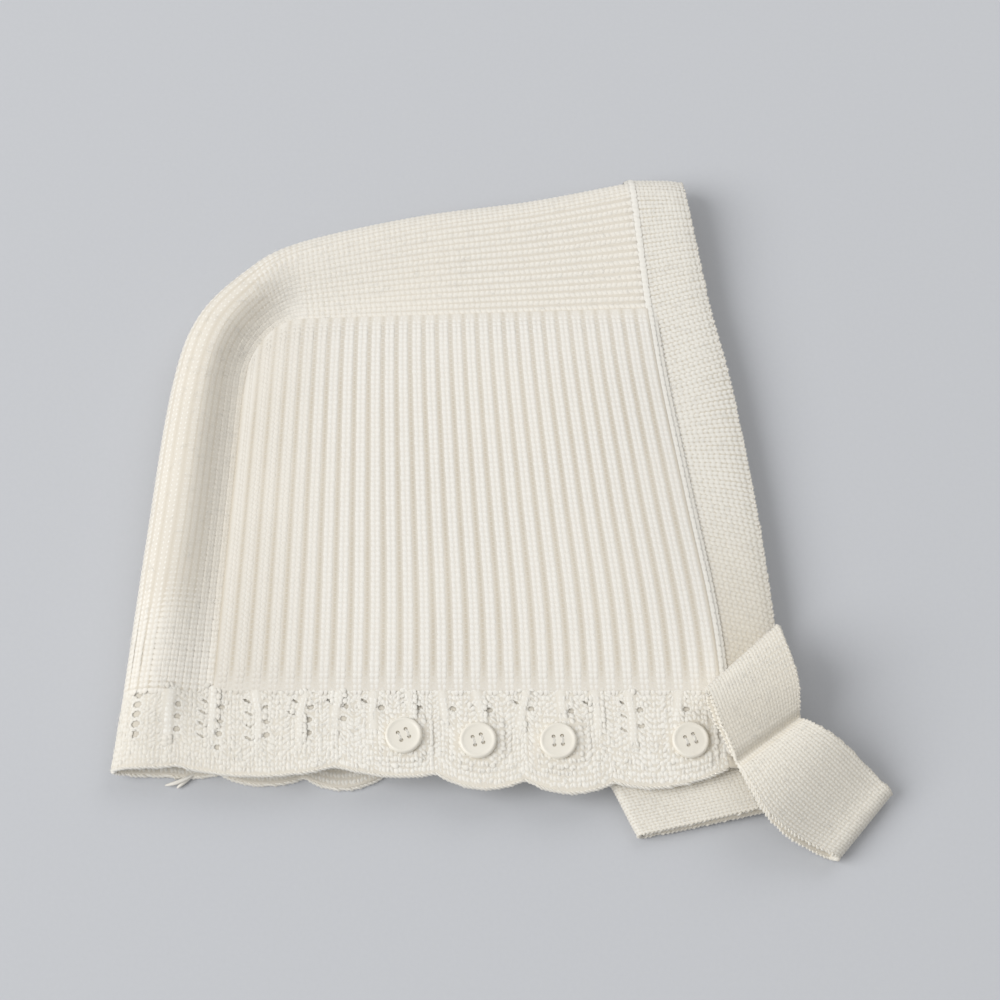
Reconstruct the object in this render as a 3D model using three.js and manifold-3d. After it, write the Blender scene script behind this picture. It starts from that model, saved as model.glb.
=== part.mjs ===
// Knitted baby bonnet lying flat on its side, in millimetres.
// +X points to the face opening, +Y to the crown and +Z up from the surface it lies on.
// The origin is on that surface, under the middle of the part.
import * as THREE from 'three';
import { mergeVertices } from 'three/addons/utils/BufferGeometryUtils.js';
import Module from 'manifold-3d';

const { lerp, smoothstep } = THREE.MathUtils;
const wasm = await Module();
wasm.setup();

// Clearance between pieces, and how thick each knitted piece is
const seamGap = 0.4;
const wall = { panel: 1.9, strip: 2.2, band: 2.3, hem: 1.8, strap: 1.7, bow: 2.0 };

// Height of the upper layer's outer face where its pieces meet
const seamTop = 10.2;

// Ribbed side panel: its plan outline, its ribs and how it swells in the middle
const panel = {
  hemLine: -52.4,
  backSeamX: -71.6,
  backLean: 0.0515,
  cornerStart: 31.2,
  cornerRise: 19.0,
  cornerShare: 0.133,
  topRise: 3.1,
  ribs: 30,
  ribRise: 1.1,
  restingRibRise: 0.6,
  puff: 2.2,
  rowsAbove: 7,
  rowsBelow: 4,
};

// Face band in plan: its seam and its outer edge at heights up the face opening
const bandRows = [
  { y: -70.0, seamX: 55.6, edgeX: 70.5 },
  { y: -35.0, seamX: 52.7, edgeX: 68.5 },
  { y: 0.0, seamX: 46.7, edgeX: 64.9 },
  { y: 33.0, seamX: 41.1, edgeX: 59.7 },
  { y: 53.0, seamX: 38.6, edgeX: 55.4 },
  { y: 93.5, seamX: 34.4, edgeX: 48.4 },
];
const band = { acrossSteps: 4, edgeDrop: 0.6, edgeWall: 1.2, tilt: 0.9, tiltStart: 50, tiltEnd: 0 };
const bandSteps = { upper: 16, roll: 8, lower: 8 };

// Crown strip, from the nape (travel 0) round the back corner (1 to 2) to the face band (3).
// Each row places the folded edge and the rolled crest behind it.
const stripRows = [
  { travel: 0.0, foldX: -94.4, foldY: -52.2, crest: 13.0, reach: 8.5 },
  { travel: 0.5, foldX: -90.9, foldY: -12.0, crest: 14.5, reach: 9.5 },
  { travel: 1.0, foldX: -86.4, foldY: 31.5, crest: 15.5, reach: 9.0 },
  { travel: 1.35, foldX: -80.6, foldY: 51.3, crest: 15.8, reach: 9.0 },
  { travel: 1.7, foldX: -67.8, foldY: 65.6, crest: 15.4, reach: 8.5 },
  { travel: 2.0, foldX: -54.6, foldY: 73.6, crest: 14.6, reach: 8.0 },
  { travel: 2.35, foldX: -23.0, foldY: 82.0, crest: 13.4, reach: 7.5 },
  { travel: 2.7, foldX: 8.0, foldY: 87.0, crest: 12.6, reach: 7.0 },
  { travel: 3.0, foldX: 34.0, foldY: 92.7, crest: 12.2, reach: 7.0 },
];
const strip = { ridgeRise: 0.45 };
const stripSteps = { lower: 4, roll: 10, upper: 16, back: 6, corner: 7, top: 5 };

// Lace hem: cusp lines of both layers' scalloped edges, and how high the upper edge stands, along X
const hemRows = [
  { x: -96.8, upperCuspY: -70.6, lowerCuspY: -70.4, edgeTop: 8.0 },
  { x: -60.0, upperCuspY: -70.3, lowerCuspY: -71.0, edgeTop: 8.4 },
  { x: -40.0, upperCuspY: -70.8, lowerCuspY: -71.6, edgeTop: 8.6 },
  { x: -16.0, upperCuspY: -72.6, lowerCuspY: -68.2, edgeTop: 8.8 },
  { x: 27.0, upperCuspY: -74.8, lowerCuspY: -68.6, edgeTop: 9.2 },
  { x: 56.0, upperCuspY: -71.0, lowerCuspY: -68.0, edgeTop: 9.6 },
];
// Cusps of each layer's edge, with the depth of the lobe that follows each one
const upperCusps = [
  { x: -97.0, lobe: 0.8 },
  { x: -80.0, lobe: 3.0 },
  { x: -41.0, lobe: 1.6 },
  { x: -16.0, lobe: 3.2 },
  { x: 5.8, lobe: 3.0 },
  { x: 27.4, lobe: 2.8 },
  { x: 57.0, lobe: 0.0 },
];
const lowerCusps = [
  { x: -97.0, lobe: 0.6 },
  { x: -86.0, lobe: 1.0 },
  { x: -70.0, lobe: 2.6 },
  { x: -49.0, lobe: 3.2 },
  { x: -27.0, lobe: 2.0 },
  { x: -5.0, lobe: 2.4 },
  { x: 17.0, lobe: 2.4 },
  { x: 39.0, lobe: 2.4 },
  { x: 60.0, lobe: 0.0 },
];
const hem = {
  lobeRoundness: 0.8,
  columnRise: 0.9,
  columnFoot: 1.2,
  columnFade: 0.2,
  rollSwell: 0.6,
  downSteps: 4,
};
const hemSteps = { roll: 8, lower: 28 };

// Columns that run down the hem from the ribs, with the length of each and its rows of eyelets
const hemColumns = [
  { x: -81.6, length: 0.8, eyeletsBack: 3, eyeletsFront: 3 },
  { x: -71.2, length: 0.8, eyeletsBack: 3, eyeletsFront: 3 },
  { x: -60.1, length: 0.8, eyeletsBack: 3, eyeletsFront: 3 },
  { x: -49.8, length: 0.8, eyeletsBack: 3, eyeletsFront: 3 },
  { x: -41.2, length: 0.7, eyeletsBack: 2, eyeletsFront: 3 },
  { x: -32.0, length: 0.7, eyeletsBack: 3, eyeletsFront: 2 },
  { x: -22.2, length: 0.3, eyeletsBack: 1, eyeletsFront: 1 },
  { x: -13.9, length: 0.6, eyeletsBack: 2, eyeletsFront: 2 },
  { x: -4.6, length: 0.3, eyeletsBack: 1, eyeletsFront: 1 },
  { x: 4.7, length: 0.6, eyeletsBack: 2, eyeletsFront: 2 },
  { x: 15.2, length: 0.3, eyeletsBack: 1, eyeletsFront: 1 },
  { x: 23.7, length: 0.6, eyeletsBack: 2, eyeletsFront: 2 },
  { x: 32.3, length: 0.7, eyeletsBack: 3, eyeletsFront: 3 },
  { x: 43.3, length: 0.3, eyeletsBack: 1, eyeletsFront: 1 },
];
const eyelet = { aside: 2.5, width: 2.2, height: 1.3, slant: 0.5, first: 0.22, spacing: 0.16 };

// Four-hole buttons on the upper hem
const buttonPlaces = [
  { x: -24.2, y: -63.8 },
  { x: -5.9, y: -65.1 },
  { x: 13.8, y: -65.3 },
  { x: 46.3, y: -65.1 },
];
const button = {
  radius: 4.6,
  thick: 2.1,
  bevel: 0.8,
  rim: 0.9,
  dish: 0.5,
  holes: 4,
  holeRadius: 0.55,
  holeReach: 1.25,
  holeTurn: 0.3,
  holeSides: 6,
  sides: 16,
};

// Bow: one knitted ring tacked flat across its crease.
// Each loop's two selvages in plan, at shares of the way from the crease to its fold.
const upperLoopRows = [
  { share: 0.0, leftX: 57.6, leftY: -71.6, rightX: 73.0, rightY: -60.2 },
  { share: 0.5, leftX: 52.9, leftY: -61.6, rightX: 72.2, rightY: -51.4 },
  { share: 1.0, leftX: 49.8, leftY: -53.2, rightX: 67.8, rightY: -37.0 },
];
const lowerLoopRows = [
  { share: 0.0, leftX: 57.6, leftY: -71.6, rightX: 73.0, rightY: -60.2 },
  { share: 0.4, leftX: 65.3, leftY: -84.8, rightX: 83.4, rightY: -66.8 },
  { share: 1.0, leftX: 82.4, leftY: -93.2, rightX: 96.2, rightY: -77.0 },
];
const bow = {
  upperLength: 22,
  lowerLength: 31,
  tack: 2.5,
  joinOverlap: 0.5,
  underArch: 0.25,
  seat: 11.1,
  droopStart: 0.12,
  droopEnd: 0.95,
  upperSwell: 4.6,
  lowerSwell: 2.4,
  acrossSteps: 3,
};

// Chin strap: folded double under the front of the hem, its ends between the two layers
const strap = {
  foldTop: [24.2, -70.7],
  foldBottom: [33.1, -87.2],
  endTop: [62.5, -62.6],
  endBottom: [68.0, -79.8],
  length: 37,
  betweenLayers: 0.4,
  lift: 2.7,
  dropStart: -87,
  dropEnd: -75.5,
  acrossSteps: 4,
};

const colours = { wool: 0xe2dcd0, woolWarm: 0xdcd5c7, pearl: 0xe6dfd3 };
const finish = { wool: 0.95, pearl: 0.38 };

// Smooth value of one column of a section table
function tableValue(rows, key, column, at) {
  const last = rows.length - 2;
  let i = 0;
  while (i < last && at > rows[i + 1][key]) i += 1;
  const slope = (a, b) => (rows[b][column] - rows[a][column]) / (rows[b][key] - rows[a][key]);
  const span = rows[i + 1][key] - rows[i][key];
  const t = (at - rows[i][key]) / span;
  const slopeIn = slope(Math.max(i - 1, 0), i + 1) * span;
  const slopeOut = slope(i, Math.min(i + 2, rows.length - 1)) * span;
  const from = rows[i][column];
  const to = rows[i + 1][column];
  const rise = to - from;
  const bend = (slopeIn + slopeOut - 2 * rise) * t + 3 * rise - 2 * slopeIn - slopeOut;
  return from + t * (slopeIn + t * bend);
}

const bandSeamX = (y) => tableValue(bandRows, 'y', 'seamX', y);
const bandEdgeX = (y) => tableValue(bandRows, 'y', 'edgeX', y);
const mix2 = (a, b, t) => new THREE.Vector2(lerp(a[0], b[0], t), lerp(a[1], b[1], t));

// A closed slab of cloth: a box whose grid runs across, along and through the cloth
function clothSlab(acrossSteps, alongSteps, place) {
  const geometry = new THREE.BoxGeometry(1, 1, 1, acrossSteps, alongSteps, 1);
  return placed(geometry, (x, y, z) => place(x + 0.5, y + 0.5, z + 0.5));
}

// Share corners between faces, so that a geometry is one closed surface
function joined(geometry) {
  geometry.deleteAttribute('normal');
  geometry.deleteAttribute('uv');
  return mergeVertices(geometry, 1e-4);
}

// Move every corner of a geometry through a function
function placed(geometry, place) {
  const position = geometry.attributes.position;
  for (let i = 0; i < position.count; i += 1) {
    const point = place(position.getX(i), position.getY(i), position.getZ(i));
    position.setXYZ(i, point.x, point.y, point.z);
  }
  return joined(geometry);
}

function toSolid(geometry) {
  const vertProperties = new Float32Array(geometry.attributes.position.array);
  const triVerts = new Uint32Array(geometry.index.array);
  return new wasm.Manifold(new wasm.Mesh({ numProp: 3, vertProperties, triVerts }));
}

function fromSolid(solid) {
  const mesh = solid.getMesh();
  const geometry = new THREE.BufferGeometry();
  geometry.setAttribute('position', new THREE.BufferAttribute(mesh.vertProperties, 3));
  geometry.setIndex(new THREE.BufferAttribute(mesh.triVerts, 1));
  return geometry;
}

const bonnet = new THREE.Group();

function addPiece(name, geometry, colour, roughness) {
  geometry.computeVertexNormals();
  const material = new THREE.MeshStandardMaterial({ color: colour, roughness, metalness: 0 });
  const mesh = new THREE.Mesh(geometry, material);
  mesh.name = name;
  bonnet.add(mesh);
}

// Side panels

const backSeamX = (y) => panel.backSeamX + (y - panel.hemLine) * panel.backLean;

// Height of the panel's top seam at a share of its width from back to front
function panelTopY(share) {
  const beyond = share - panel.cornerShare;
  const cornerTop = panel.cornerStart + panel.cornerRise;
  if (beyond >= 0) return cornerTop + (panel.topRise * beyond) / (1 - panel.cornerShare);
  const turn = beyond / panel.cornerShare;
  return panel.cornerStart + panel.cornerRise * Math.sqrt(Math.max(0, 1 - turn * turn));
}

// Plan point of the panel at a share of its width and of its height
function panelPlan(share, up) {
  const y = lerp(panel.hemLine + seamGap / 2, panelTopY(share) - seamGap, up);
  const x = lerp(backSeamX(y) + seamGap, bandSeamX(y) - seamGap, share);
  return new THREE.Vector2(x, y);
}

// Outer face of the upper panel between its ribs
function panelTop(share, up) {
  const acrossSwell = 1 - (2 * share - 1) ** 4;
  const upSwell = 1 - (2 * up - 1) ** 4;
  return seamTop + panel.puff * acrossSwell * upSwell;
}

// Ribs stand up between valleys: every second grid line is a crest
const ribCrest = (share) => Math.round(share * panel.ribs * 2) % 2;

function upperPanel() {
  return clothSlab(panel.ribs * 2, panel.rowsAbove, (share, up, outer) => {
    const { x, y } = panelPlan(share, up);
    const valley = panelTop(share, up);
    const z = outer > 0.5 ? valley + panel.ribRise * ribCrest(share) : valley - wall.panel;
    return new THREE.Vector3(x, y, z);
  });
}

// The lower panel mirrors the upper one and lies flat on its rib crests
function lowerPanel() {
  return clothSlab(panel.ribs * 2, panel.rowsBelow, (across, up, outer) => {
    const share = 1 - across;
    const { x, y } = panelPlan(share, up);
    const valley = panel.restingRibRise * (1 - ribCrest(share));
    return new THREE.Vector3(x, y, outer > 0.5 ? valley : panel.restingRibRise + wall.panel);
  });
}

// Crown strip

// Cross-section of a folded layer: distance in from the fold, and height.
// Run 0 to 1 lies on the surface, 1 to 2 rolls over the fold, 2 to 3 falls to the seam.
function foldSection(run, width, reach, crest) {
  if (run <= 1) return new THREE.Vector2(lerp(width, reach, run), 0);
  if (run <= 2) {
    const turn = Math.PI * (run - 1);
    return new THREE.Vector2(reach * (1 - Math.sin(turn)), (crest / 2) * (1 - Math.cos(turn)));
  }
  const fall = run - 2;
  const z = seamTop + ((crest - seamTop) * (1 + Math.cos(Math.PI * fall))) / 2;
  return new THREE.Vector2(lerp(reach, width, fall), z);
}

// A section's point moved inwards through the cloth, square to the section's own run
function insideSection(section, run, depth, lastRun = 3) {
  const step = 0.02;
  const before = section(Math.max(0, run - step));
  const ahead = section(Math.min(lastRun, run + step)).sub(before).normalize();
  return section(run).add(new THREE.Vector2(ahead.y, -ahead.x).multiplyScalar(depth));
}

// Seam between the strip and the panel, in plan
function stripSeam(travel) {
  let share = 0;
  let y = lerp(panel.hemLine + seamGap / 2, panel.cornerStart, Math.min(travel, 1));
  if (travel > 1 && travel <= 2) {
    const turn = ((travel - 1) * Math.PI) / 2;
    share = panel.cornerShare * (1 - Math.cos(turn));
    y = panel.cornerStart + panel.cornerRise * Math.sin(turn);
  }
  if (travel > 2) {
    share = lerp(panel.cornerShare, 1, travel - 2);
    y = panelTopY(share);
  }
  const x = lerp(backSeamX(y), bandSeamX(y) - seamGap, share);
  return new THREE.Vector2(x, y);
}

// Grid position to a run of the section, with more steps where the strip rolls and ribs
function stripRun(step) {
  const { lower, roll, upper } = stripSteps;
  if (step <= lower) return step / lower;
  if (step <= lower + roll) return 1 + (step - lower) / roll;
  return 2 + (step - lower - roll) / upper;
}

function stripTravel(step) {
  const { back, corner, top } = stripSteps;
  if (step <= back) return step / back;
  if (step <= back + corner) return 1 + (step - back) / corner;
  return 2 + (step - back - corner) / top;
}

function crownStrip() {
  const { lower, roll, upper, back, corner, top } = stripSteps;
  const acrossSteps = lower + roll + upper;
  const alongSteps = back + corner + top;
  return clothSlab(acrossSteps, alongSteps, (across, along, outer) => {
    const step = Math.round(across * acrossSteps);
    const run = stripRun(step);
    const travel = stripTravel(Math.round(along * alongSteps));
    const row = (column) => tableValue(stripRows, 'travel', column, travel);
    const fold = new THREE.Vector2(row('foldX'), row('foldY'));
    const seam = stripSeam(travel);
    const width = fold.distanceTo(seam);
    const section = (at) => foldSection(at, width, row('reach'), row('crest'));
    const ridged = step > lower && step < acrossSteps;
    const valley = ridged && step % 2 === 1 ? strip.ridgeRise : 0;
    const point = insideSection(section, run, outer > 0.5 ? valley : wall.strip);
    const plan = fold.lerp(seam, point.x / width);
    return new THREE.Vector3(plan.x, plan.y, point.y);
  });
}

// Face band

const frontRow = stripRows[stripRows.length - 1];
const bandFoldY = bandRows[bandRows.length - 1].y;
const bandEndY = bandRows[0].y;
const frontWidth = bandFoldY - panelTopY(1);

// The band's section runs from its upper end over the fold to its lower end
function bandSection(run) {
  const full = bandFoldY - bandEndY;
  const { reach, crest } = frontRow;
  if (run >= 2) return new THREE.Vector2(lerp(reach, full, run - 2), 0);
  if (run >= 1) return foldSection(3 - run, frontWidth, reach, crest);
  const inward = lerp(full, reach, run);
  const fall = Math.min(1, (inward - reach) / (frontWidth - reach));
  return new THREE.Vector2(inward, foldSection(2 + fall, frontWidth, reach, crest).y);
}

function bandRun(step) {
  const { upper, roll, lower } = bandSteps;
  if (step <= upper) return step / upper;
  if (step <= upper + roll) return 1 + (step - upper) / roll;
  return 2 + (step - upper - roll) / lower;
}

function faceBand() {
  const alongSteps = bandSteps.upper + bandSteps.roll + bandSteps.lower;
  return clothSlab(band.acrossSteps, alongSteps, (across, along, outer) => {
    const run = bandRun(Math.round(along * alongSteps));
    const taper = across ** 6;
    const thinning = ((wall.band - band.edgeWall) / 2) * taper;
    const depth = outer > 0.5 ? thinning : wall.band - thinning;
    const point = insideSection(bandSection, run, -depth);
    const y = bandFoldY - point.x;
    const x = lerp(bandSeamX(y), bandEdgeX(y), across);
    const onTop = 1 - smoothstep(run, 1, 1.5);
    const resting = smoothstep(run, 1.5, 2);
    const tilted = band.tilt * across * (1 - smoothstep(y, band.tiltEnd, band.tiltStart));
    const z = point.y - (band.edgeDrop * taper + tilted) * onTop - thinning * taper * resting;
    return new THREE.Vector3(x, y, Math.max(0, z));
  });
}

// Lace hem

// Scalloped edge of one layer, in plan: round lobes between cusps
function scallopY(cusps, cuspColumn, x) {
  let i = 0;
  while (i < cusps.length - 2 && x > cusps[i + 1].x) i += 1;
  const share = (x - cusps[i].x) / (cusps[i + 1].x - cusps[i].x);
  const round = Math.max(0, Math.sin(Math.PI * share)) ** hem.lobeRoundness;
  return tableValue(hemRows, 'x', cuspColumn, x) - cusps[i].lobe * round;
}

const upperEdgeY = (x) => scallopY(upperCusps, 'upperCuspY', x);
const lowerEdgeY = (x) => scallopY(lowerCusps, 'lowerCuspY', x);

const hemTopY = panel.hemLine - seamGap / 2;

// Outer face of the upper hem, without its columns
function hemTop(x, down) {
  return lerp(seamTop, tableValue(hemRows, 'x', 'edgeTop', x), down * down);
}

// Grid lines of the upper hem: each column's two feet and crest, and the lace between columns
function hemStations() {
  const stations = [];
  const frontToBack = [...hemColumns].reverse();
  frontToBack.forEach((column, i) => {
    const next = frontToBack[i + 1];
    stations.push({ x: column.x + hem.columnFoot, column, raised: false });
    stations.push({ x: column.x, column, raised: true });
    stations.push({ x: column.x - hem.columnFoot, column, raised: false });
    if (next) stations.push({ x: (column.x + next.x) / 2, column, raised: false });
  });
  const first = stations[0].x;
  const ends = [1, 0.5].map((share) => ({ x: first, frontShare: share, raised: false }));
  return [...ends, ...stations];
}

const stations = hemStations();
const rollStartX = stations[stations.length - 1].x;

function hemUpperPoint(station, down, outer) {
  const front = bandSeamX(lerp(hemTopY, bandEndY, down)) - seamGap;
  const x = station.frontShare ? lerp(station.x, front, station.frontShare) : station.x;
  const y = lerp(hemTopY, upperEdgeY(x), down);
  const columnEnd = station.raised ? station.column.length : 0;
  const fade = station.raised ? 1 - smoothstep(down, columnEnd - hem.columnFade, columnEnd) : 0;
  const top = hemTop(x, down);
  return new THREE.Vector3(x, y, outer > 0.5 ? top + hem.columnRise * fade : top - wall.hem);
}

// The hem's back roll, carried on from the crown strip's fold
function hemRollPoint(turn, down, outer) {
  const foldX = lerp(stripRows[0].foldX, hemRows[0].x, down);
  const reach = rollStartX - foldX;
  const crest = lerp(stripRows[0].crest, hemRows[0].edgeTop + hem.rollSwell, down);
  const startTop = hemTop(rollStartX, down);
  const section = (at) => {
    const angle = Math.PI * at;
    const lift = (crest - startTop) * Math.sin(angle) * (1 - at);
    const z = (startTop / 2) * (1 + Math.cos(angle)) + lift;
    return new THREE.Vector2(reach * Math.sin(angle) ** hem.lobeRoundness, z);
  };
  const point = insideSection(section, turn, outer > 0.5 ? 0 : wall.hem, 1);
  const x = rollStartX - point.x;
  const edgeY = lerp(upperEdgeY(rollStartX), lowerEdgeY(rollStartX), turn);
  const y = lerp(hemTopY, edgeY, down);
  return new THREE.Vector3(x, y, Math.max(0, point.y));
}

function hemLowerPoint(share, down, outer) {
  const front = bandSeamX(lerp(hemTopY, bandEndY, down)) - seamGap;
  const x = lerp(rollStartX, front, share);
  const y = lerp(hemTopY, lowerEdgeY(x), down);
  return new THREE.Vector3(x, y, outer > 0.5 ? 0 : wall.hem);
}

// One slanted diamond-shaped eyelet, cut straight down through the upper hem
function eyeletCutter(column, side, row) {
  const down = eyelet.first + eyelet.spacing * row;
  const x = column.x + side * eyelet.aside;
  const y = lerp(hemTopY, upperEdgeY(x), down);
  const cutter = new THREE.CylinderGeometry(1, 1, 3 * wall.hem, 4, 1);
  cutter.rotateX(Math.PI / 2);
  cutter.scale(eyelet.width / 2, eyelet.height / 2, 1);
  cutter.rotateZ(-side * eyelet.slant);
  cutter.translate(x, y, hemTop(x, down) - wall.hem / 2);
  return toSolid(joined(cutter));
}

function laceHem() {
  const upperSteps = stations.length - 1;
  const acrossSteps = upperSteps + hemSteps.roll + hemSteps.lower;
  const cloth = clothSlab(acrossSteps, hem.downSteps, (across, along, outer) => {
    const step = Math.round(across * acrossSteps);
    if (step <= upperSteps) return hemUpperPoint(stations[step], along, outer);
    const rolled = step - upperSteps;
    if (rolled <= hemSteps.roll) return hemRollPoint(rolled / hemSteps.roll, along, outer);
    return hemLowerPoint((rolled - hemSteps.roll) / hemSteps.lower, along, outer);
  });
  let solid = toSolid(cloth);
  for (const column of hemColumns) {
    for (const [side, count] of [[-1, column.eyeletsBack], [1, column.eyeletsFront]]) {
      for (let row = 0; row < count; row += 1) {
        solid = solid.subtract(eyeletCutter(column, side, row));
      }
    }
  }
  return fromSolid(solid);
}

// Buttons

function buttonSolid() {
  const { radius, thick, bevel, rim, dish, holeRadius, holeReach, holeSides, sides } = button;
  const profile = [
    [0, 0],
    [radius - bevel, 0],
    [radius, bevel],
    [radius, thick - bevel / 2],
    [radius - rim / 2, thick],
    [radius - rim - bevel / 2, thick - dish],
    [0, thick - dish],
  ].map(([r, z]) => new THREE.Vector2(r, z));
  const disc = new THREE.LatheGeometry(profile, sides);
  disc.rotateX(Math.PI / 2);
  let solid = toSolid(joined(disc));
  for (let hole = 0; hole < button.holes; hole += 1) {
    const angle = ((hole + button.holeTurn) * 2 * Math.PI) / button.holes;
    const cutter = new THREE.CylinderGeometry(holeRadius, holeRadius, 4 * thick, holeSides, 1);
    cutter.rotateX(Math.PI / 2);
    cutter.translate(holeReach * Math.cos(angle), holeReach * Math.sin(angle), 0);
    solid = solid.subtract(toSolid(joined(cutter)));
  }
  return fromSolid(solid);
}

// Bow

// Outline of a knitted loop lying along +X from the crease, swelling towards its fold
function loopOutline(length, swell, inset) {
  const height = 2 * wall.bow + swell;
  const foldStart = length - height / 2;
  const layerStart = inset > 0 ? bow.tack : -bow.joinOverlap;
  const layerSteps = 4;
  const points = [];
  for (let i = 0; i <= layerSteps; i += 1) {
    const share = i / layerSteps;
    points.push([lerp(layerStart, foldStart, share), inset + bow.underArch * Math.sin(Math.PI * share)]);
  }
  const radius = height / 2 - inset;
  for (let i = 1; i < layerSteps; i += 1) {
    const turn = Math.PI * (i / layerSteps - 0.5);
    points.push([foldStart + radius * Math.cos(turn), height / 2 + radius * Math.sin(turn)]);
  }
  for (let i = layerSteps; i >= 0; i -= 1) {
    const share = i / layerSteps;
    const top = 2 * wall.bow + swell * Math.sin((Math.PI * share) / 2);
    points.push([lerp(layerStart, foldStart, share), top - inset]);
  }
  return points;
}

// Place a point of a loop, given along the band from the crease, up from its seat and across
function bowPoint(along, height, across) {
  const onUpper = along >= 0;
  const share = Math.abs(along) / (onUpper ? bow.upperLength : bow.lowerLength);
  const edge = (column) => tableValue(onUpper ? upperLoopRows : lowerLoopRows, 'share', column, share);
  const x = lerp(edge('leftX'), edge('rightX'), across);
  const y = lerp(edge('leftY'), edge('rightY'), across);
  const droop = onUpper ? 0 : smoothstep(share, bow.droopStart, bow.droopEnd);
  return new THREE.Vector3(x, y, height + bow.seat * (1 - droop));
}

function bowLoop(outline, hole) {
  const toVector = ([x, y]) => new THREE.Vector2(x, y);
  const shape = new THREE.Shape(outline.map(toVector));
  shape.holes = [new THREE.Path(hole.map(toVector))];
  const loop = new THREE.ExtrudeGeometry(shape, { depth: 1, steps: bow.acrossSteps, bevelEnabled: false });
  return toSolid(placed(loop, bowPoint));
}

function bowRing() {
  const mirrored = (points) => points.map(([x, y]) => [-x, y]).reverse();
  const upper = (inset) => loopOutline(bow.upperLength, bow.upperSwell, inset);
  const lower = (inset) => mirrored(loopOutline(bow.lowerLength, bow.lowerSwell, inset));
  const upperLoop = bowLoop(upper(0), upper(wall.bow).slice(1));
  const lowerLoop = bowLoop(lower(0), lower(wall.bow).slice(1));
  return fromSolid(upperLoop.add(lowerLoop));
}

// Chin strap

function chinStrap() {
  const thick = wall.strap;
  const top = 2 * thick + strap.betweenLayers;
  const start = top / 2;
  const layerSteps = 5;
  const turnSteps = 4;
  const points = [];
  const layer = (from, to, height) => {
    for (let i = 0; i <= layerSteps; i += 1) points.push([lerp(from, to, i / layerSteps), height]);
  };
  const turned = (radius, from, to) => {
    for (let i = 1; i < turnSteps; i += 1) {
      const turn = lerp(from, to, i / turnSteps);
      points.push([start - radius * Math.cos(turn), start + radius * Math.sin(turn)]);
    }
  };
  layer(start, strap.length, 0);
  layer(strap.length, start, thick);
  turned(strap.betweenLayers / 2, -Math.PI / 2, Math.PI / 2);
  layer(start, strap.length, top - thick);
  layer(strap.length, start, top);
  turned(start, Math.PI / 2, -Math.PI / 2);
  const shape = new THREE.Shape(points.map(([x, y]) => new THREE.Vector2(x, y)));
  const fold = new THREE.ExtrudeGeometry(shape, { depth: 1, steps: strap.acrossSteps, bevelEnabled: false });
  return placed(fold, (along, height, across) => {
    const share = along / strap.length;
    const bottom = mix2(strap.foldBottom, strap.endBottom, share);
    const plan = bottom.lerp(mix2(strap.foldTop, strap.endTop, share), 1 - across);
    const lifted = strap.lift * smoothstep(plan.y, strap.dropStart, strap.dropEnd);
    return new THREE.Vector3(plan.x, plan.y, height + lifted);
  });
}

addPiece('side_panel_upper', upperPanel(), colours.wool, finish.wool);
addPiece('side_panel_lower', lowerPanel(), colours.wool, finish.wool);
addPiece('crown_strip', crownStrip(), colours.woolWarm, finish.wool);
addPiece('face_band', faceBand(), colours.woolWarm, finish.wool);
addPiece('lace_hem', laceHem(), colours.wool, finish.wool);
addPiece('bow', bowRing(), colours.woolWarm, finish.wool);
addPiece('chin_strap', chinStrap(), colours.wool, finish.wool);
buttonPlaces.forEach(({ x, y }, i) => {
  const down = (hemTopY - y) / (hemTopY - upperEdgeY(x));
  const disc = buttonSolid();
  disc.translate(x, y, hemTop(x, down) + seamGap);
  addPiece(`button_${i + 1}`, disc, colours.pearl, finish.pearl);
});

export default bonnet;
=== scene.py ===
import math

import bmesh
import bpy
import numpy as np
from mathutils import Matrix, Vector


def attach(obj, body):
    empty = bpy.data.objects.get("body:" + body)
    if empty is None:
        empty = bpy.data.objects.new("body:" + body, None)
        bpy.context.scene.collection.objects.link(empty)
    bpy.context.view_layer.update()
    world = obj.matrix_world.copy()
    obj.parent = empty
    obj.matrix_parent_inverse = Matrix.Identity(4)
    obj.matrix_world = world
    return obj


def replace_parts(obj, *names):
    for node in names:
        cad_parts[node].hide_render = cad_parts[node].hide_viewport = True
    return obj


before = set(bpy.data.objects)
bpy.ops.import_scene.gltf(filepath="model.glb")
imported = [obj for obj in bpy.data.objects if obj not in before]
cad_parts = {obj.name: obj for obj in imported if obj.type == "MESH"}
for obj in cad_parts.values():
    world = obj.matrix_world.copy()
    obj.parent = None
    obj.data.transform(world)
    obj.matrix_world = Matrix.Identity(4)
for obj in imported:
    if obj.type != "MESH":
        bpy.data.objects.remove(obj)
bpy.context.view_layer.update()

mm = 0.001  # shapes are worked out in millimetres, meshes are in metres
seamTop = 10.2  # outer face where the upper pieces meet
seamGap = 0.1  # what is left between two pieces that are knitted together
dice = np.random.default_rng(11)


# number helpers

def ease(at, low, high):
    share = np.clip((at - low) / (high - low), 0, 1)
    return share * share * (3 - 2 * share)


def between(a, b, share):
    return a + (b - a) * share


def blend(first, second, share):
    return [between(a, b, share) for a, b in zip(first, second)]


def evenly(count):
    return np.linspace(0, 1, count + 1)


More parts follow.
